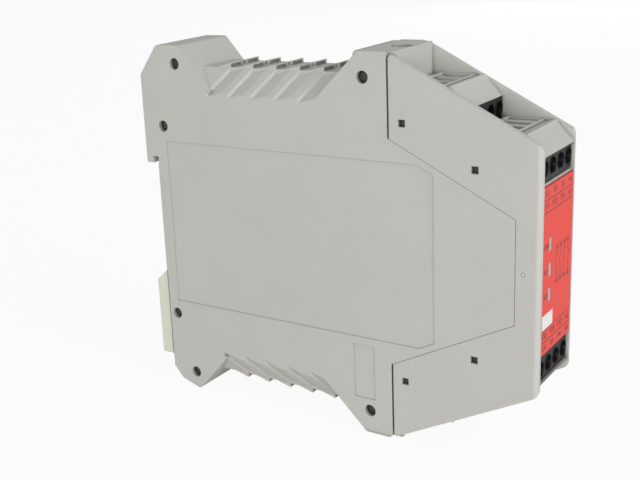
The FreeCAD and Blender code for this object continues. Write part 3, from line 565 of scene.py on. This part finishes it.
class RELAY_OT_housing(bpy.types.Operator):
    """Gives the two shells and the hood their grained warm grey"""
    bl_idname = "relay.housing"
    bl_label = "Housing and hood"

    def execute(self, context):
        plastic = context.scene.relay_plastic
        material = finish(
            "housing_grey_plastic", "moulded",
            {"Colour": full(plastic.housing), "Roughness": 0.64, "Grain Scale": 5200.0,
             "Shade Change": 0.035, "Painted Edge Highlight": 0.75, "Edge Radius": plastic.edge},
            plastic.grain, Specular_IOR_Level=0.16)
        dress_nodes(["left_shell", "right_shell", "front_hood"], material)
        return {"FINISHED"}


class RELAY_OT_terminals(bpy.types.Operator):
    """Finishes the black blocks, the tinned bars, the cages and the screws"""
    bl_idname = "relay.terminals"
    bl_label = "Terminals"

    def execute(self, context):
        plastic = context.scene.relay_plastic
        dress_nodes(BLOCKS, finish(
            "terminal_black_plastic", "moulded",
            {"Colour": full(plastic.block), "Roughness": 0.5, "Grain Scale": 6000.0,
             "Shade Change": 0.12, "Painted Edge Highlight": 0.9, "Edge Radius": plastic.edge / 2},
            plastic.grain, Specular_IOR_Level=0.14))
        dress_nodes(BARS, finish(
            "tinned_bar", "metal",
            {"Colour": (0.66, 0.63, 0.56, 1), "Roughness": 0.34}, depth=0.000006, Metallic=1.0))
        dress_nodes(CAGES, finish(
            "cage_steel", "metal",
            {"Colour": (0.55, 0.55, 0.54, 1), "Roughness": 0.42}, depth=0.000008, Metallic=1.0))
        # painted shade: the screws get a dark grey, so that they read as shaded deep in their bores
        dress_nodes(SCREWS, finish(
            "screw_steel_painted_shade", "metal",
            {"Colour": (0.12, 0.12, 0.13, 1), "Roughness": 0.42, "Scratch Scale": 3600.0},
            depth=0.000006, Metallic=1.0))
        return {"FINISHED"}


def turned(name, axis, centre, profile):
    """A ring spun from (radius, place along the axis) points about an axis through the centre."""
    piece = added(bpy.ops.mesh.primitive_plane_add, size=1)
    bpy.ops.object.mode_set(mode="EDIT")
    bpy.ops.mesh.delete(type="ONLY_FACE")
    bpy.ops.mesh.select_all(action="SELECT")
    bpy.ops.mesh.merge(type="CENTER")
    close_mesh()
    along = Vector(axis)
    out = Vector((1, 0, 0)) if abs(along.z) > 0.5 else Vector((0, 0, 1))
    points = [Vector(centre) + out * radius + along * place for radius, place in profile]
    piece.data.vertices[0].co = points[0]
    open_mesh()
    for before, after in zip(points, points[1:]):
        bpy.ops.mesh.extrude_region_move(TRANSFORM_OT_translate={"value": after - before})
    bpy.ops.mesh.select_all(action="SELECT")
    bpy.ops.mesh.spin(steps=TURNED_STEPS, angle=math.radians(360), center=centre, axis=axis)
    bpy.ops.mesh.select_all(action="SELECT")
    bpy.ops.mesh.remove_doubles(threshold=2 * MERGE)
    bpy.ops.mesh.normals_make_consistent(inside=False)
    close_mesh()
    piece.name = name
    only(piece)
    bpy.ops.object.shade_smooth_by_angle(angle=SMOOTH_ANGLE)
    return settle(piece)


class RELAY_OT_bores(bpy.types.Operator):
    """Models the lined bores that the screw heads sit in, with a fine lip at each mouth"""
    bl_idname = "relay.bores"
    bl_label = "Screw bore liners"

    def execute(self, context):
        plastic = context.scene.relay_plastic
        # black plastic like the blocks, made darker still: painted shade deep in the bores
        material = finish(
            "bore_liner_black_and_painted_shade", "moulded",
            {"Colour": (0.006, 0.006, 0.007, 1), "Roughness": 0.42, "Grain Scale": 6000.0,
             "Shade Change": 0.1, "Painted Edge Highlight": 0.9, "Edge Radius": plastic.edge / 3},
            plastic.grain / 2, Specular_IOR_Level=0.14)
        outer, inner, lip, deep = LINER_OUTER, LINER_INNER, LINER_LIP, LINER_DEPTH
        profile = [(outer, -deep), (outer, lip * 0.5), (outer - lip * 0.3, lip),
                   (inner + lip * 0.3, lip), (inner, lip * 0.5), (inner, -deep), (outer, -deep)]
        for row in ROWS:
            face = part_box(f"terminal_block_{row}")[0].y
            low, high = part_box(f"terminal_screw_{row}_1")
            ring = turned("bore", (0, -1, 0), (SCREW_X[0], face, (low.z + high.z) / 2), profile)
            piece = joined(f"bore_liners_{row}", copied(ring, NEXT_POLES))
            fixed(piece, material)
        return {"FINISHED"}


def painted_shade_material(context):
    """Painted shade: the near black that the pin ends, the lock wells and the snap lugs share, in
    place of the shade deep in their bores, holes and windows.
    """
    plastic = context.scene.relay_plastic
    return bpy.data.materials.get("painted_shade_dark") or finish(
        "painted_shade_dark", "moulded",
        {"Colour": (0.035, 0.035, 0.033, 1), "Roughness": 0.5, "Grain Scale": 5000.0,
         "Shade Change": 0.2, "Edge Radius": plastic.edge / 3}, plastic.grain / 2)


class RELAY_OT_pins(bpy.types.Operator):
    """Models the domed ends of the assembly pins at the foot of the bores in the left shell, near
    black with painted shade of the deep bores
    """
    bl_idname = "relay.pins"
    bl_label = "Pin ends"

    def execute(self, context):
        profile = [(out * PIN_RADIUS, up * PIN_RISE) for out, up in PIN_PROFILE]
        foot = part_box("right_shell")[0].x - PIN_CLEAR
        places = [Vector((foot, y, end * (BOX_HIGH.z - under)))
                  for end in (1, -1) for y, under in PINS]
        first = turned("pin", (-1, 0, 0), places[0], profile)
        pins = copied(first, [place - places[0] for place in places[1:]])
        # the pin ends are near black: painted shade of the deep bores
        fixed(joined("pin_ends_painted_shade", pins), painted_shade_material(context))
        return {"FINISHED"}


class RELAY_OT_locks(bpy.types.Operator):
    """Models near black floors in the lock holes of the upper and the lower cap: painted shade of
    the deep holes
    """
    bl_idname = "relay.locks"
    bl_label = "Lock wells"

    def execute(self, context):
        profile = [(0.0, WELL_RISE), (WELL_RADIUS - WELL_RISE, WELL_RISE),
                   (WELL_RADIUS, 0.0), (0.0, 0.0)]
        floor = BOX_HIGH.z - WELL_DEPTH
        wells = [turned("well", (0, 0, end), (0, LOCK_Y, end * floor), profile) for end in (1, -1)]
        # the well floors are near black: painted shade of the deep lock holes
        fixed(joined("lock_wells_painted_shade", wells), painted_shade_material(context))
        return {"FINISHED"}


class RELAY_OT_lugs(bpy.types.Operator):
    """Models the snap lugs that fill the square windows of the hood, near black with painted shade
    of the windows
    """
    bl_idname = "relay.lugs"
    bl_label = "Snap lugs"

    def execute(self, context):
        places = [Vector((side * (BOX_HIGH.x - LUG_DEPTH), y, end * z))
                  for side in (-1, 1) for end in (-1, 1) for y, z in WINDOWS]
        lug = added(bpy.ops.mesh.primitive_cube_add, size=1, location=places[0])
        lug.scale = LUG_SIZE
        bevelled(settle(lug), LUG_EDGE, 2)
        lugs = copied(lug, [place - places[0] for place in places[1:]])
        # the lugs are near black: painted shade inside the windows
        fixed(joined("snap_lugs_painted_shade", lugs), painted_shade_material(context))
        return {"FINISHED"}


class RELAY_OT_gate(bpy.types.Operator):
    """Models the pale stub of the moulding gate on the left side of the hood"""
    bl_idname = "relay.gate"
    bl_label = "Moulding gate"

    def execute(self, context):
        plastic = context.scene.relay_plastic
        gate = turned("gate_stub", (-1, 0, 0), (BOX_LOW.x + GATE_DEPTH, GATE_Y, 0), GATE_PROFILE)
        fixed(gate, finish(
            "gate_pale", "moulded",
            {"Colour": (0.72, 0.72, 0.68, 1), "Roughness": 0.25, "Grain Scale": 3000.0,
             "Edge Radius": plastic.edge / 3}, plastic.grain / 4))
        return {"FINISHED"}


class RELAY_OT_entries(bpy.types.Operator):
    """Models the raised frame round the four wire entries of each terrace"""
    bl_idname = "relay.entries"
    bl_label = "Wire entry frames"

    def execute(self, context):
        plastic = context.scene.relay_plastic
        material = finish(
            "entry_frame_plastic", "moulded",
            {"Colour": full(plastic.housing), "Roughness": 0.52, "Grain Scale": 6400.0,
             "Shade Change": 0.05, "Painted Edge Highlight": 0.7, "Edge Radius": plastic.edge / 2},
            plastic.grain, IOR=1.5)
        for row in ROWS:
            piece = self.frame_of(row, context.scene.relay_terrace)
            fixed(piece, material)
        return {"FINISHED"}

    def frame_of(self, row, terrace):
        """A pierced sheet on the floor of the terrace, thickened outwards and softened."""
        low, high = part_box(f"terminal_block_{row}")
        up = row.startswith("upper")
        floor = high.z + terrace.sheet if up else low.z - terrace.sheet
        front = low.y + terrace.inset
        back = front + terrace.length
        half = (SCREW_X[-1] - SCREW_X[0]) / 2 + terrace.width / 2
        edge = min(high.x, half + terrace.rim * FRAME_SIDE)
        piece = added(bpy.ops.mesh.primitive_plane_add, size=1,
                      location=(0, (front + back) / 2, floor))
        piece.scale = (2 * edge, back - front + 2 * terrace.rim, 1)
        piece.name = f"entry_frame_{row}"
        settle(piece)
        bpy.ops.object.mode_set(mode="EDIT")
        sliced(0, [x + side * terrace.width / 2 for x in SCREW_X for side in (-1, 1)])
        sliced(1, (front, back))
        pierced(piece, lambda centre: front < centre.y < back
                and any(abs(centre.x - x) < terrace.width / 2 for x in SCREW_X))
        bpy.ops.mesh.select_all(action="SELECT")
        bpy.ops.mesh.remove_doubles(threshold=MERGE)
        close_mesh()
        thick = piece.modifiers.new("Rise", "SOLIDIFY")
        thick.thickness = terrace.rise
        thick.offset = 1 if up else -1
        soft = piece.modifiers.new("Soft edge", "BEVEL")
        soft.width = terrace.rise * FRAME_EDGE
        soft.segments = 2
        soft.limit_method = "ANGLE"
        applied(piece)
        open_mesh()
        bpy.ops.mesh.normals_make_consistent(inside=False)
        close_mesh()
        return piece


class RELAY_OT_ramps(bpy.types.Operator):
    """Models the sloped floor behind each wire entry, which leads a wire forward into its clamp"""
    bl_idname = "relay.ramps"
    bl_label = "Wire entry ramps"

    def execute(self, context):
        plastic = context.scene.relay_plastic
        terrace = context.scene.relay_terrace
        material = finish(
            "entry_ramp_plastic", "moulded",
            {"Colour": full(plastic.housing), "Roughness": 0.55, "Grain Scale": 5200.0,
             "Edge Radius": plastic.edge / 2}, plastic.grain, IOR=1.5)
        for row in ROWS:
            low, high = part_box(f"terminal_block_{row}")
            end = 1 if row.startswith("upper") else -1
            foot = (high.z if end > 0 else low.z) + end * RAMP_LIFT
            first = self.ramp(foot, end, low.y + terrace.inset + terrace.length, terrace)
            piece = joined(f"entry_ramps_{row}", copied(first, NEXT_POLES))
            fixed(piece, material)
        return {"FINISHED"}

    def ramp(self, foot, end, back, terrace):
        """One wedge, level with the terrace at the back of the entry and low in front."""
        long = terrace.length * RAMP_SHARE
        tall, wide = terrace.sheet - RAMP_STEP, terrace.width - RAMP_PLAY
        middle = back - long / 2
        piece = added(bpy.ops.mesh.primitive_cube_add, size=1,
                      location=(SCREW_X[0], middle - RAMP_GAP, foot + end * tall / 2))
        piece.scale = (wide, long, tall)
        settle(piece)
        bpy.ops.object.mode_set(mode="EDIT")
        bpy.ops.mesh.select_mode(type="VERT")
        bpy.ops.mesh.select_all(action="DESELECT")
        close_mesh()
        for corner in piece.data.vertices:
            corner.select = corner.co.y < middle and end * (corner.co.z - foot) > tall / 2
        bpy.ops.object.mode_set(mode="EDIT")
        bpy.ops.transform.translate(value=(0, 0, -end * tall * RAMP_FALL))
        bpy.ops.mesh.select_all(action="SELECT")
        bpy.ops.mesh.bevel(offset=RAMP_EDGE, segments=1, affect="EDGES")
        bpy.ops.mesh.normals_make_consistent(inside=False)
        close_mesh()
        return piece


class RELAY_OT_latch(bpy.types.Operator):
    """Finishes the cream latch that slides behind the housing"""
    bl_idname = "relay.latch"
    bl_label = "Rail latch"

    def execute(self, context):
        plastic = context.scene.relay_plastic
        dress_nodes(["rail_latch"], finish(
            "latch_cream_plastic", "moulded",
            {"Colour": full(plastic.latch), "Roughness": 0.38, "Grain Scale": 2600.0,
             "Shade Change": 0.05, "Painted Edge Highlight": 0.5, "Edge Radius": plastic.edge},
            plastic.grain / 2, IOR=1.5, Subsurface_Weight=0.12, Subsurface_Scale=0.002))
        return {"FINISHED"}


class RELAY_OT_spring(bpy.types.Operator):
    """Models the zigzag spring with rolled edges"""
    bl_idname = "relay.spring"
    bl_label = "Latch spring"

    def execute(self, context):
        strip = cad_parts["latch_spring"]
        spring = strip.copy()
        spring.data = strip.data.copy()
        spring.name = "zigzag_spring"
        context.scene.collection.objects.link(spring)
        only(spring)
        open_mesh()
        bpy.ops.mesh.remove_doubles(threshold=MERGE)
        bpy.ops.mesh.dissolve_limited(angle_limit=math.radians(1))
        bpy.ops.mesh.bevel(offset=SPRING_EDGE, segments=2, affect="EDGES")
        close_mesh()
        steel = finish(
            "spring_steel", "metal",
            {"Colour": (0.48, 0.48, 0.50, 1), "Roughness": 0.30}, depth=0.000004, Metallic=1.0)
        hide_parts("latch_spring")
        fixed(spring, steel)
        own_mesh(spring)
        return {"FINISHED"}


class RELAY_OT_inside(bpy.types.Operator):
    """Finishes the boards, relays and small parts inside the housing"""
    bl_idname = "relay.inside"
    bl_label = "Boards and parts"

    def execute(self, context):
        edge = context.scene.relay_plastic.edge
        dress_nodes(["main_board", "front_board"], finish(
            "board_green_mask", "board", {}, depth=0.00003, IOR=1.5))
        dress_nodes(["relay_k1", "relay_k2"], finish(
            "relay_case_plastic", "moulded",
            {"Colour": (0.62, 0.62, 0.58, 1), "Roughness": 0.3, "Edge Radius": edge},
            depth=0.00001, IOR=1.5))
        dress_nodes(["logic_chips", "board_connector"], finish(
            "chip_black_resin", "moulded",
            {"Colour": (0.018, 0.018, 0.019, 1), "Roughness": 0.55, "Shade Change": 0.15,
             "Edge Radius": edge / 2}, depth=0.00002, IOR=1.5))
        dress_nodes(["capacitors"], finish(
            "can_aluminium", "metal",
            {"Colour": (0.72, 0.72, 0.73, 1), "Roughness": 0.28}, depth=0.000005, Metallic=1.0))
        return {"FINISHED"}


class RELAY_OT_lamps(bpy.types.Operator):
    """Finishes the clear light guide and the lamps behind it"""
    bl_idname = "relay.lamps"
    bl_label = "Lamps"

    def execute(self, context):
        edge = context.scene.relay_plastic.edge
        dress_nodes(["light_guide"], finish(
            "guide_clear_plastic", "moulded",
            {"Colour": (0.62, 0.60, 0.62, 1), "Roughness": 0.32, "Grain Scale": 3000.0,
             "Shade Change": 0.06, "Painted Edge Highlight": 0.6, "Edge Radius": edge / 2},
            depth=0.00001, IOR=1.49, Transmission_Weight=0.35))
        dress_nodes(["indicator_leds"], finish(
            "lamp_lens_resin", "moulded",
            {"Colour": (0.35, 0.5, 0.3, 1), "Roughness": 0.2, "Edge Radius": edge / 2},
            depth=0.00001, IOR=1.5))
        return {"FINISHED"}


class RELAY_OT_label(bpy.types.Operator):
    """Gives the front label its red plastic"""
    bl_idname = "relay.label"
    bl_label = "Label plate"

    def execute(self, context):
        plastic = context.scene.relay_plastic
        dress_nodes(["front_label"], finish(
            "label_red_plastic", "moulded",
            {"Colour": full(plastic.label), "Roughness": 0.48, "Grain Scale": 4200.0,
             "Shade Change": 0.06, "Painted Edge Highlight": 0.4, "Edge Radius": plastic.edge / 2},
            plastic.grain / 2, Specular_IOR_Level=0.18))
        return {"FINISHED"}


class RELAY_OT_film(bpy.types.Operator):
    """Models the printed red film over the label plate, pierced for the three lamps"""
    bl_idname = "relay.film"
    bl_label = "Label film"

    def execute(self, context):
        plastic = context.scene.relay_plastic
        lamp_x = (LAMP_LOW.x + LAMP_HIGH.x) / 2
        rows = (-LAMP_PITCH, 0, LAMP_PITCH)
        piece = added(bpy.ops.mesh.primitive_plane_add, size=1, location=(0, LABEL_LOW.y, 0),
                      rotation=(math.radians(90), 0, 0))
        piece.scale = (2 * FILM_HALF, 2 * LABEL_HIGH.z, 1)
        piece.name = "label_film"
        settle(piece)
        bpy.ops.object.mode_set(mode="EDIT")
        sliced(0, (lamp_x - LAMP_HALF, lamp_x + LAMP_HALF))
        sliced(2, [row + end * LAMP_TALL for row in rows for end in (-1, 1)])
        pierced(piece, lambda centre: abs(centre.x - lamp_x) < LAMP_HALF
                and any(abs(centre.z - row) < LAMP_TALL for row in rows))
        close_mesh()
        thick = piece.modifiers.new("Film", "SOLIDIFY")
        thick.thickness = context.scene.relay_print.film
        thick.offset = 1
        applied(piece)
        film = finish(
            "label_red_film", "moulded",
            {"Colour": full(plastic.label), "Roughness": 0.5, "Grain Scale": 5200.0,
             "Shade Change": 0.05, "Painted Edge Highlight": 0.2, "Edge Radius": 0.00002},
            plastic.grain / 4, Specular_IOR_Level=0.15)
        fixed(piece, film)
        return {"FINISHED"}


def ink_material(context):
    """The dark ink that all the print shares."""
    return bpy.data.materials.get("label_ink") or finish(
        "label_ink", "moulded",
        {"Colour": full(context.scene.relay_print.ink), "Roughness": 0.55, "Grain Scale": 7000.0,
         "Shade Change": 0.25, "Painted Edge Highlight": 0.0, "Edge Radius": 0.00001}, depth=0.000004)


def ink_layer(context):
    """Where the ink ends in front, and where it starts on the face of the film."""
    face = LABEL_LOW.y - context.scene.relay_print.film
    return face - context.scene.relay_print.lift, face


class RELAY_OT_rules(bpy.types.Operator):
    """Models the dark rules between the rows of terminal numbers"""
    bl_idname = "relay.rules"
    bl_label = "Label rules"

    def execute(self, context):
        layer = ink_layer(context)
        settings = context.scene.relay_print
        lines = []
        for end in (1, -1):
            first = LABEL_HIGH.z - settings.row_outer
            for height in (first, first - settings.row_inner):
                lines.append(stroke((LABEL_LOW.x, end * height), (LABEL_HIGH.x, end * height),
                                    settings.rule, layer))
        fixed(joined("label_rules", lines), ink_material(context))
        return {"FINISHED"}


class RELAY_OT_numbers(bpy.types.Operator):
    """Sets the terminal numbers in their four rows"""
    bl_idname = "relay.numbers"
    bl_label = "Terminal numbers"

    def execute(self, context):
        layer = ink_layer(context)
        settings = context.scene.relay_print
        outer = LABEL_HIGH.z - settings.row_outer / 2
        inner = LABEL_HIGH.z - settings.row_outer - settings.row_inner / 2
        rows = [(outer, ("13", "23", "33", "41")), (inner, ("T11", "T12", "T31", "A1")),
                (-inner, ("T21", "T22", "T32", "A2")), (-outer, ("14", "24", "34", "42"))]
        words = [lettering(text, settings.number, settings.stretch, x, z, layer)
                 for z, texts in rows for x, text in zip(SCREW_X, texts)]
        fixed(joined("terminal_numbers", words), ink_material(context))
        return {"FINISHED"}


class RELAY_OT_diagram(bpy.types.Operator):
    """Draws the contact diagram: three closing contacts and one opening contact"""
    bl_idname = "relay.diagram"
    bl_label = "Contact diagram"

    def execute(self, context):
        layer = ink_layer(context)
        settings = context.scene.relay_print
        half = settings.diagram_half
        rest, pivot, foot = half * CONTACT_REST, half * CONTACT_PIVOT, half * CONTACT_FOOT
        width = settings.rule * DIAGRAM_RULE
        parts = []
        for index, (above, below) in enumerate(CONTACTS):
            x = settings.diagram_left + index * settings.diagram_pitch
            opening = index == len(CONTACTS) - 1
            lean = half * (OPENING_LEAN if opening else CLOSING_LEAN)
            lines = [((x, half), (x, rest)), ((x, pivot), (x + lean, rest)),
                     ((x, foot), (x, -half))]
            if opening:
                lines.append(((x, rest), (x + lean * OPENING_STOP, rest)))
            parts += [stroke(start, end, width, layer) for start, end in lines]
            outside = half + settings.small / 2
            for text, z in ((above, outside), (below, -outside)):
                parts.append(lettering(text, settings.small, 1.0, x, z, layer))
        fixed(joined("contact_diagram", parts), ink_material(context))
        return {"FINISHED"}


class RELAY_OT_lamp_names(bpy.types.Operator):
    """Sets the short names beside the three lamps"""
    bl_idname = "relay.lamp_names"
    bl_label = "Lamp names"

    def execute(self, context):
        layer = ink_layer(context)
        settings = context.scene.relay_print
        middle = (LABEL_LOW.x + LAMP_LOW.x) / 2
        words = [lettering(text, settings.small, settings.stretch, middle, row * LAMP_PITCH, layer)
                 for row, text in ((1, "ON"), (0, "K1"), (-1, "K2"))]
        fixed(joined("lamp_names", words), ink_material(context))
        return {"FINISHED"}


class RELAY_OT_marking_field(bpy.types.Operator):
    """Models the white field for a pencil mark near the foot of the label"""
    bl_idname = "relay.marking_field"
    bl_label = "Marking field"

    def execute(self, context):
        layer = ink_layer(context)
        settings = context.scene.relay_print
        foot = -(LABEL_HIGH.z - settings.row_outer - settings.row_inner) + settings.rule
        middle = foot + FIELD_TALL / 2
        field = stroke((LABEL_LOW.x, middle), (FIELD_RIGHT, middle), FIELD_TALL, layer)
        material = finish(
            "marking_field_white", "moulded",
            {"Colour": (0.84, 0.83, 0.80, 1), "Roughness": 0.7, "Grain Scale": 3000.0,
             "Shade Change": 0.04, "Painted Edge Highlight": 0.0, "Edge Radius": 0.00001},
            depth=0.000006)
        fixed(joined("marking_field", [field]), material)
        return {"FINISHED"}


class RELAY_OT_stage(bpy.types.Operator):
    """Sets the pale floor, the soft lamps, the sky and the camera"""
    bl_idname = "relay.stage"
    bl_label = "Studio"

    def execute(self, context):
        settings = context.scene.relay_stage
        self.floor(BOX_LOW.z)
        self.sky(context.scene, settings.sky)
        self.lamp("key_lamp", KEY_PLACE, settings.key, KEY_SIZE)
        self.lamp("fill_lamp", FILL_PLACE, settings.fill, FILL_SIZE)
        self.lamp("side_lamp", SIDE_PLACE, settings.side, SIDE_SIZE)
        self.camera(context.scene, settings.lens)
        context.scene.view_settings.view_transform = "Standard"
        return {"FINISHED"}

    def shown(self, tree):
        """1 where the studio itself is seen: straight on, in a gloss or through clear plastic."""
        path = node(tree, "ShaderNodeLightPath").outputs
        mirrored = calculated(tree, "MAXIMUM", path["Is Glossy Ray"], path["Is Transmission Ray"])
        return calculated(tree, "MAXIMUM", path["Is Camera Ray"], mirrored)

    def floor(self, height):
        """A wide white plane under the relay that still takes its shadow."""
        floor = added(bpy.ops.mesh.primitive_plane_add, size=FLOOR_SIZE, location=(0, 0, height))
        floor.name = "studio_floor"
        settle(floor)
        material = bpy.data.materials.new("studio_floor_white")
        material.use_nodes = True
        tree = material.node_tree
        tree.nodes.clear()
        matt = node(tree, "ShaderNodeBsdfDiffuse", Color=(0.86, 0.86, 0.86, 1)).outputs["BSDF"]
        white = node(tree, "ShaderNodeEmission", Color=(1, 1, 1, 1)).outputs["Emission"]
        seen = calculated(tree, "MULTIPLY", self.shown(tree), FLOOR_WHITE)
        surface = node(tree, "ShaderNodeMixShader", input0=seen, input1=matt, input2=white)
        node(tree, "ShaderNodeOutputMaterial", Surface=surface.outputs["Shader"])
        dress(floor, material)

    def sky(self, scene, level):
        """Even light all round, and white where the sky itself is seen."""
        world = bpy.data.worlds.new("studio_sky")
        scene.world = world
        world.use_nodes = True
        tree = world.node_tree
        tree.nodes.clear()
        soft, white = (node(tree, "ShaderNodeBackground", Color=(1, 1, 1, 1),
                            Strength=strength).outputs["Background"] for strength in (level, 1.0))
        seen = self.shown(tree)
        surface = node(tree, "ShaderNodeMixShader", input0=seen, input1=soft, input2=white)
        node(tree, "ShaderNodeOutputWorld", Surface=surface.outputs["Shader"])

    def lamp(self, name, place, power, size):
        """A square soft lamp that faces the relay."""
        lamp = added(bpy.ops.object.light_add, type="AREA", location=place)
        lamp.name = name
        lamp.data.energy = power
        lamp.data.size = size
        lamp.rotation_euler = (AIM - Vector(place)).to_track_quat("-Z", "Y").to_euler()

    def camera(self, scene, lens):
        """Looks at the relay from the left, a little from above, with a slight roll."""
        camera = added(bpy.ops.object.camera_add, location=CAMERA_PLACE)
        camera.name = "studio_camera"
        back = Vector((math.sin(CAMERA_TURN) * math.cos(CAMERA_RISE),
                       -math.cos(CAMERA_TURN) * math.cos(CAMERA_RISE), math.sin(CAMERA_RISE)))
        right = (-back).cross(Vector((0, 0, 1))).normalized()
        up = right.cross(-back)
        level = math.cos(CAMERA_ROLL) * right + math.sin(CAMERA_ROLL) * up
        tilted = math.cos(CAMERA_ROLL) * up - math.sin(CAMERA_ROLL) * right
        turn = Matrix((level, tilted, back)).transposed().to_4x4()
        camera.matrix_world = Matrix.Translation(camera.location) @ turn
        camera.data.lens = lens
        camera.data.sensor_width = 36
        camera.data.shift_x, camera.data.shift_y = CAMERA_SHIFT
        camera.data.clip_start = 0.01
        scene.camera = camera


class RELAY_PT_looks(bpy.types.Panel):
    """Lists the steps and their settings"""
    bl_idname = "RELAY_PT_looks"
    bl_label = "Safety relay"
    bl_space_type = "VIEW_3D"
    bl_region_type = "UI"
    bl_category = "Safety relay"

    def draw(self, context):
        for group in SETTINGS:
            settings = getattr(context.scene, group)
            box = self.layout.box()
            for name in settings.bl_rna.properties.keys():
                if name not in ("rna_type", "name"):
                    box.prop(settings, name)
        for step in STEPS:
            self.layout.operator(step.bl_idname)


SETTINGS = {"relay_plastic": PlasticSettings, "relay_print": PrintSettings,
            "relay_terrace": TerraceSettings, "relay_stage": StageSettings}
STEPS = (RELAY_OT_housing, RELAY_OT_pins, RELAY_OT_locks, RELAY_OT_lugs, RELAY_OT_gate,
         RELAY_OT_terminals, RELAY_OT_bores, RELAY_OT_entries, RELAY_OT_ramps, RELAY_OT_latch,
         RELAY_OT_spring, RELAY_OT_inside, RELAY_OT_lamps, RELAY_OT_label, RELAY_OT_film,
         RELAY_OT_rules, RELAY_OT_numbers, RELAY_OT_diagram, RELAY_OT_lamp_names,
         RELAY_OT_marking_field, RELAY_OT_stage)


def register():
    for group in SETTINGS.values():
        bpy.utils.register_class(group)
    for step in STEPS:
        bpy.utils.register_class(step)
    bpy.utils.register_class(RELAY_PT_looks)
    for name, group in SETTINGS.items():
        setattr(bpy.types.Scene, name, bpy.props.PointerProperty(type=group))


def unregister():
    for name in SETTINGS:
        delattr(bpy.types.Scene, name)
    bpy.utils.unregister_class(RELAY_PT_looks)
    for step in reversed(STEPS):
        bpy.utils.unregister_class(step)
    for group in SETTINGS.values():
        bpy.utils.unregister_class(group)


def main():
    register()
    bpy.ops.relay.housing()
    bpy.ops.relay.pins()
    bpy.ops.relay.locks()
    bpy.ops.relay.lugs()
    bpy.ops.relay.gate()
    bpy.ops.relay.terminals()
    bpy.ops.relay.bores()
    bpy.ops.relay.entries()
    bpy.ops.relay.ramps()
    bpy.ops.relay.latch()
    bpy.ops.relay.spring()
    bpy.ops.relay.inside()
    bpy.ops.relay.lamps()
    bpy.ops.relay.label()
    bpy.ops.relay.film()
    bpy.ops.relay.rules()
    bpy.ops.relay.numbers()
    bpy.ops.relay.diagram()
    bpy.ops.relay.lamp_names()
    bpy.ops.relay.marking_field()
    bpy.ops.relay.stage()


if __name__ == "__main__":
    main()
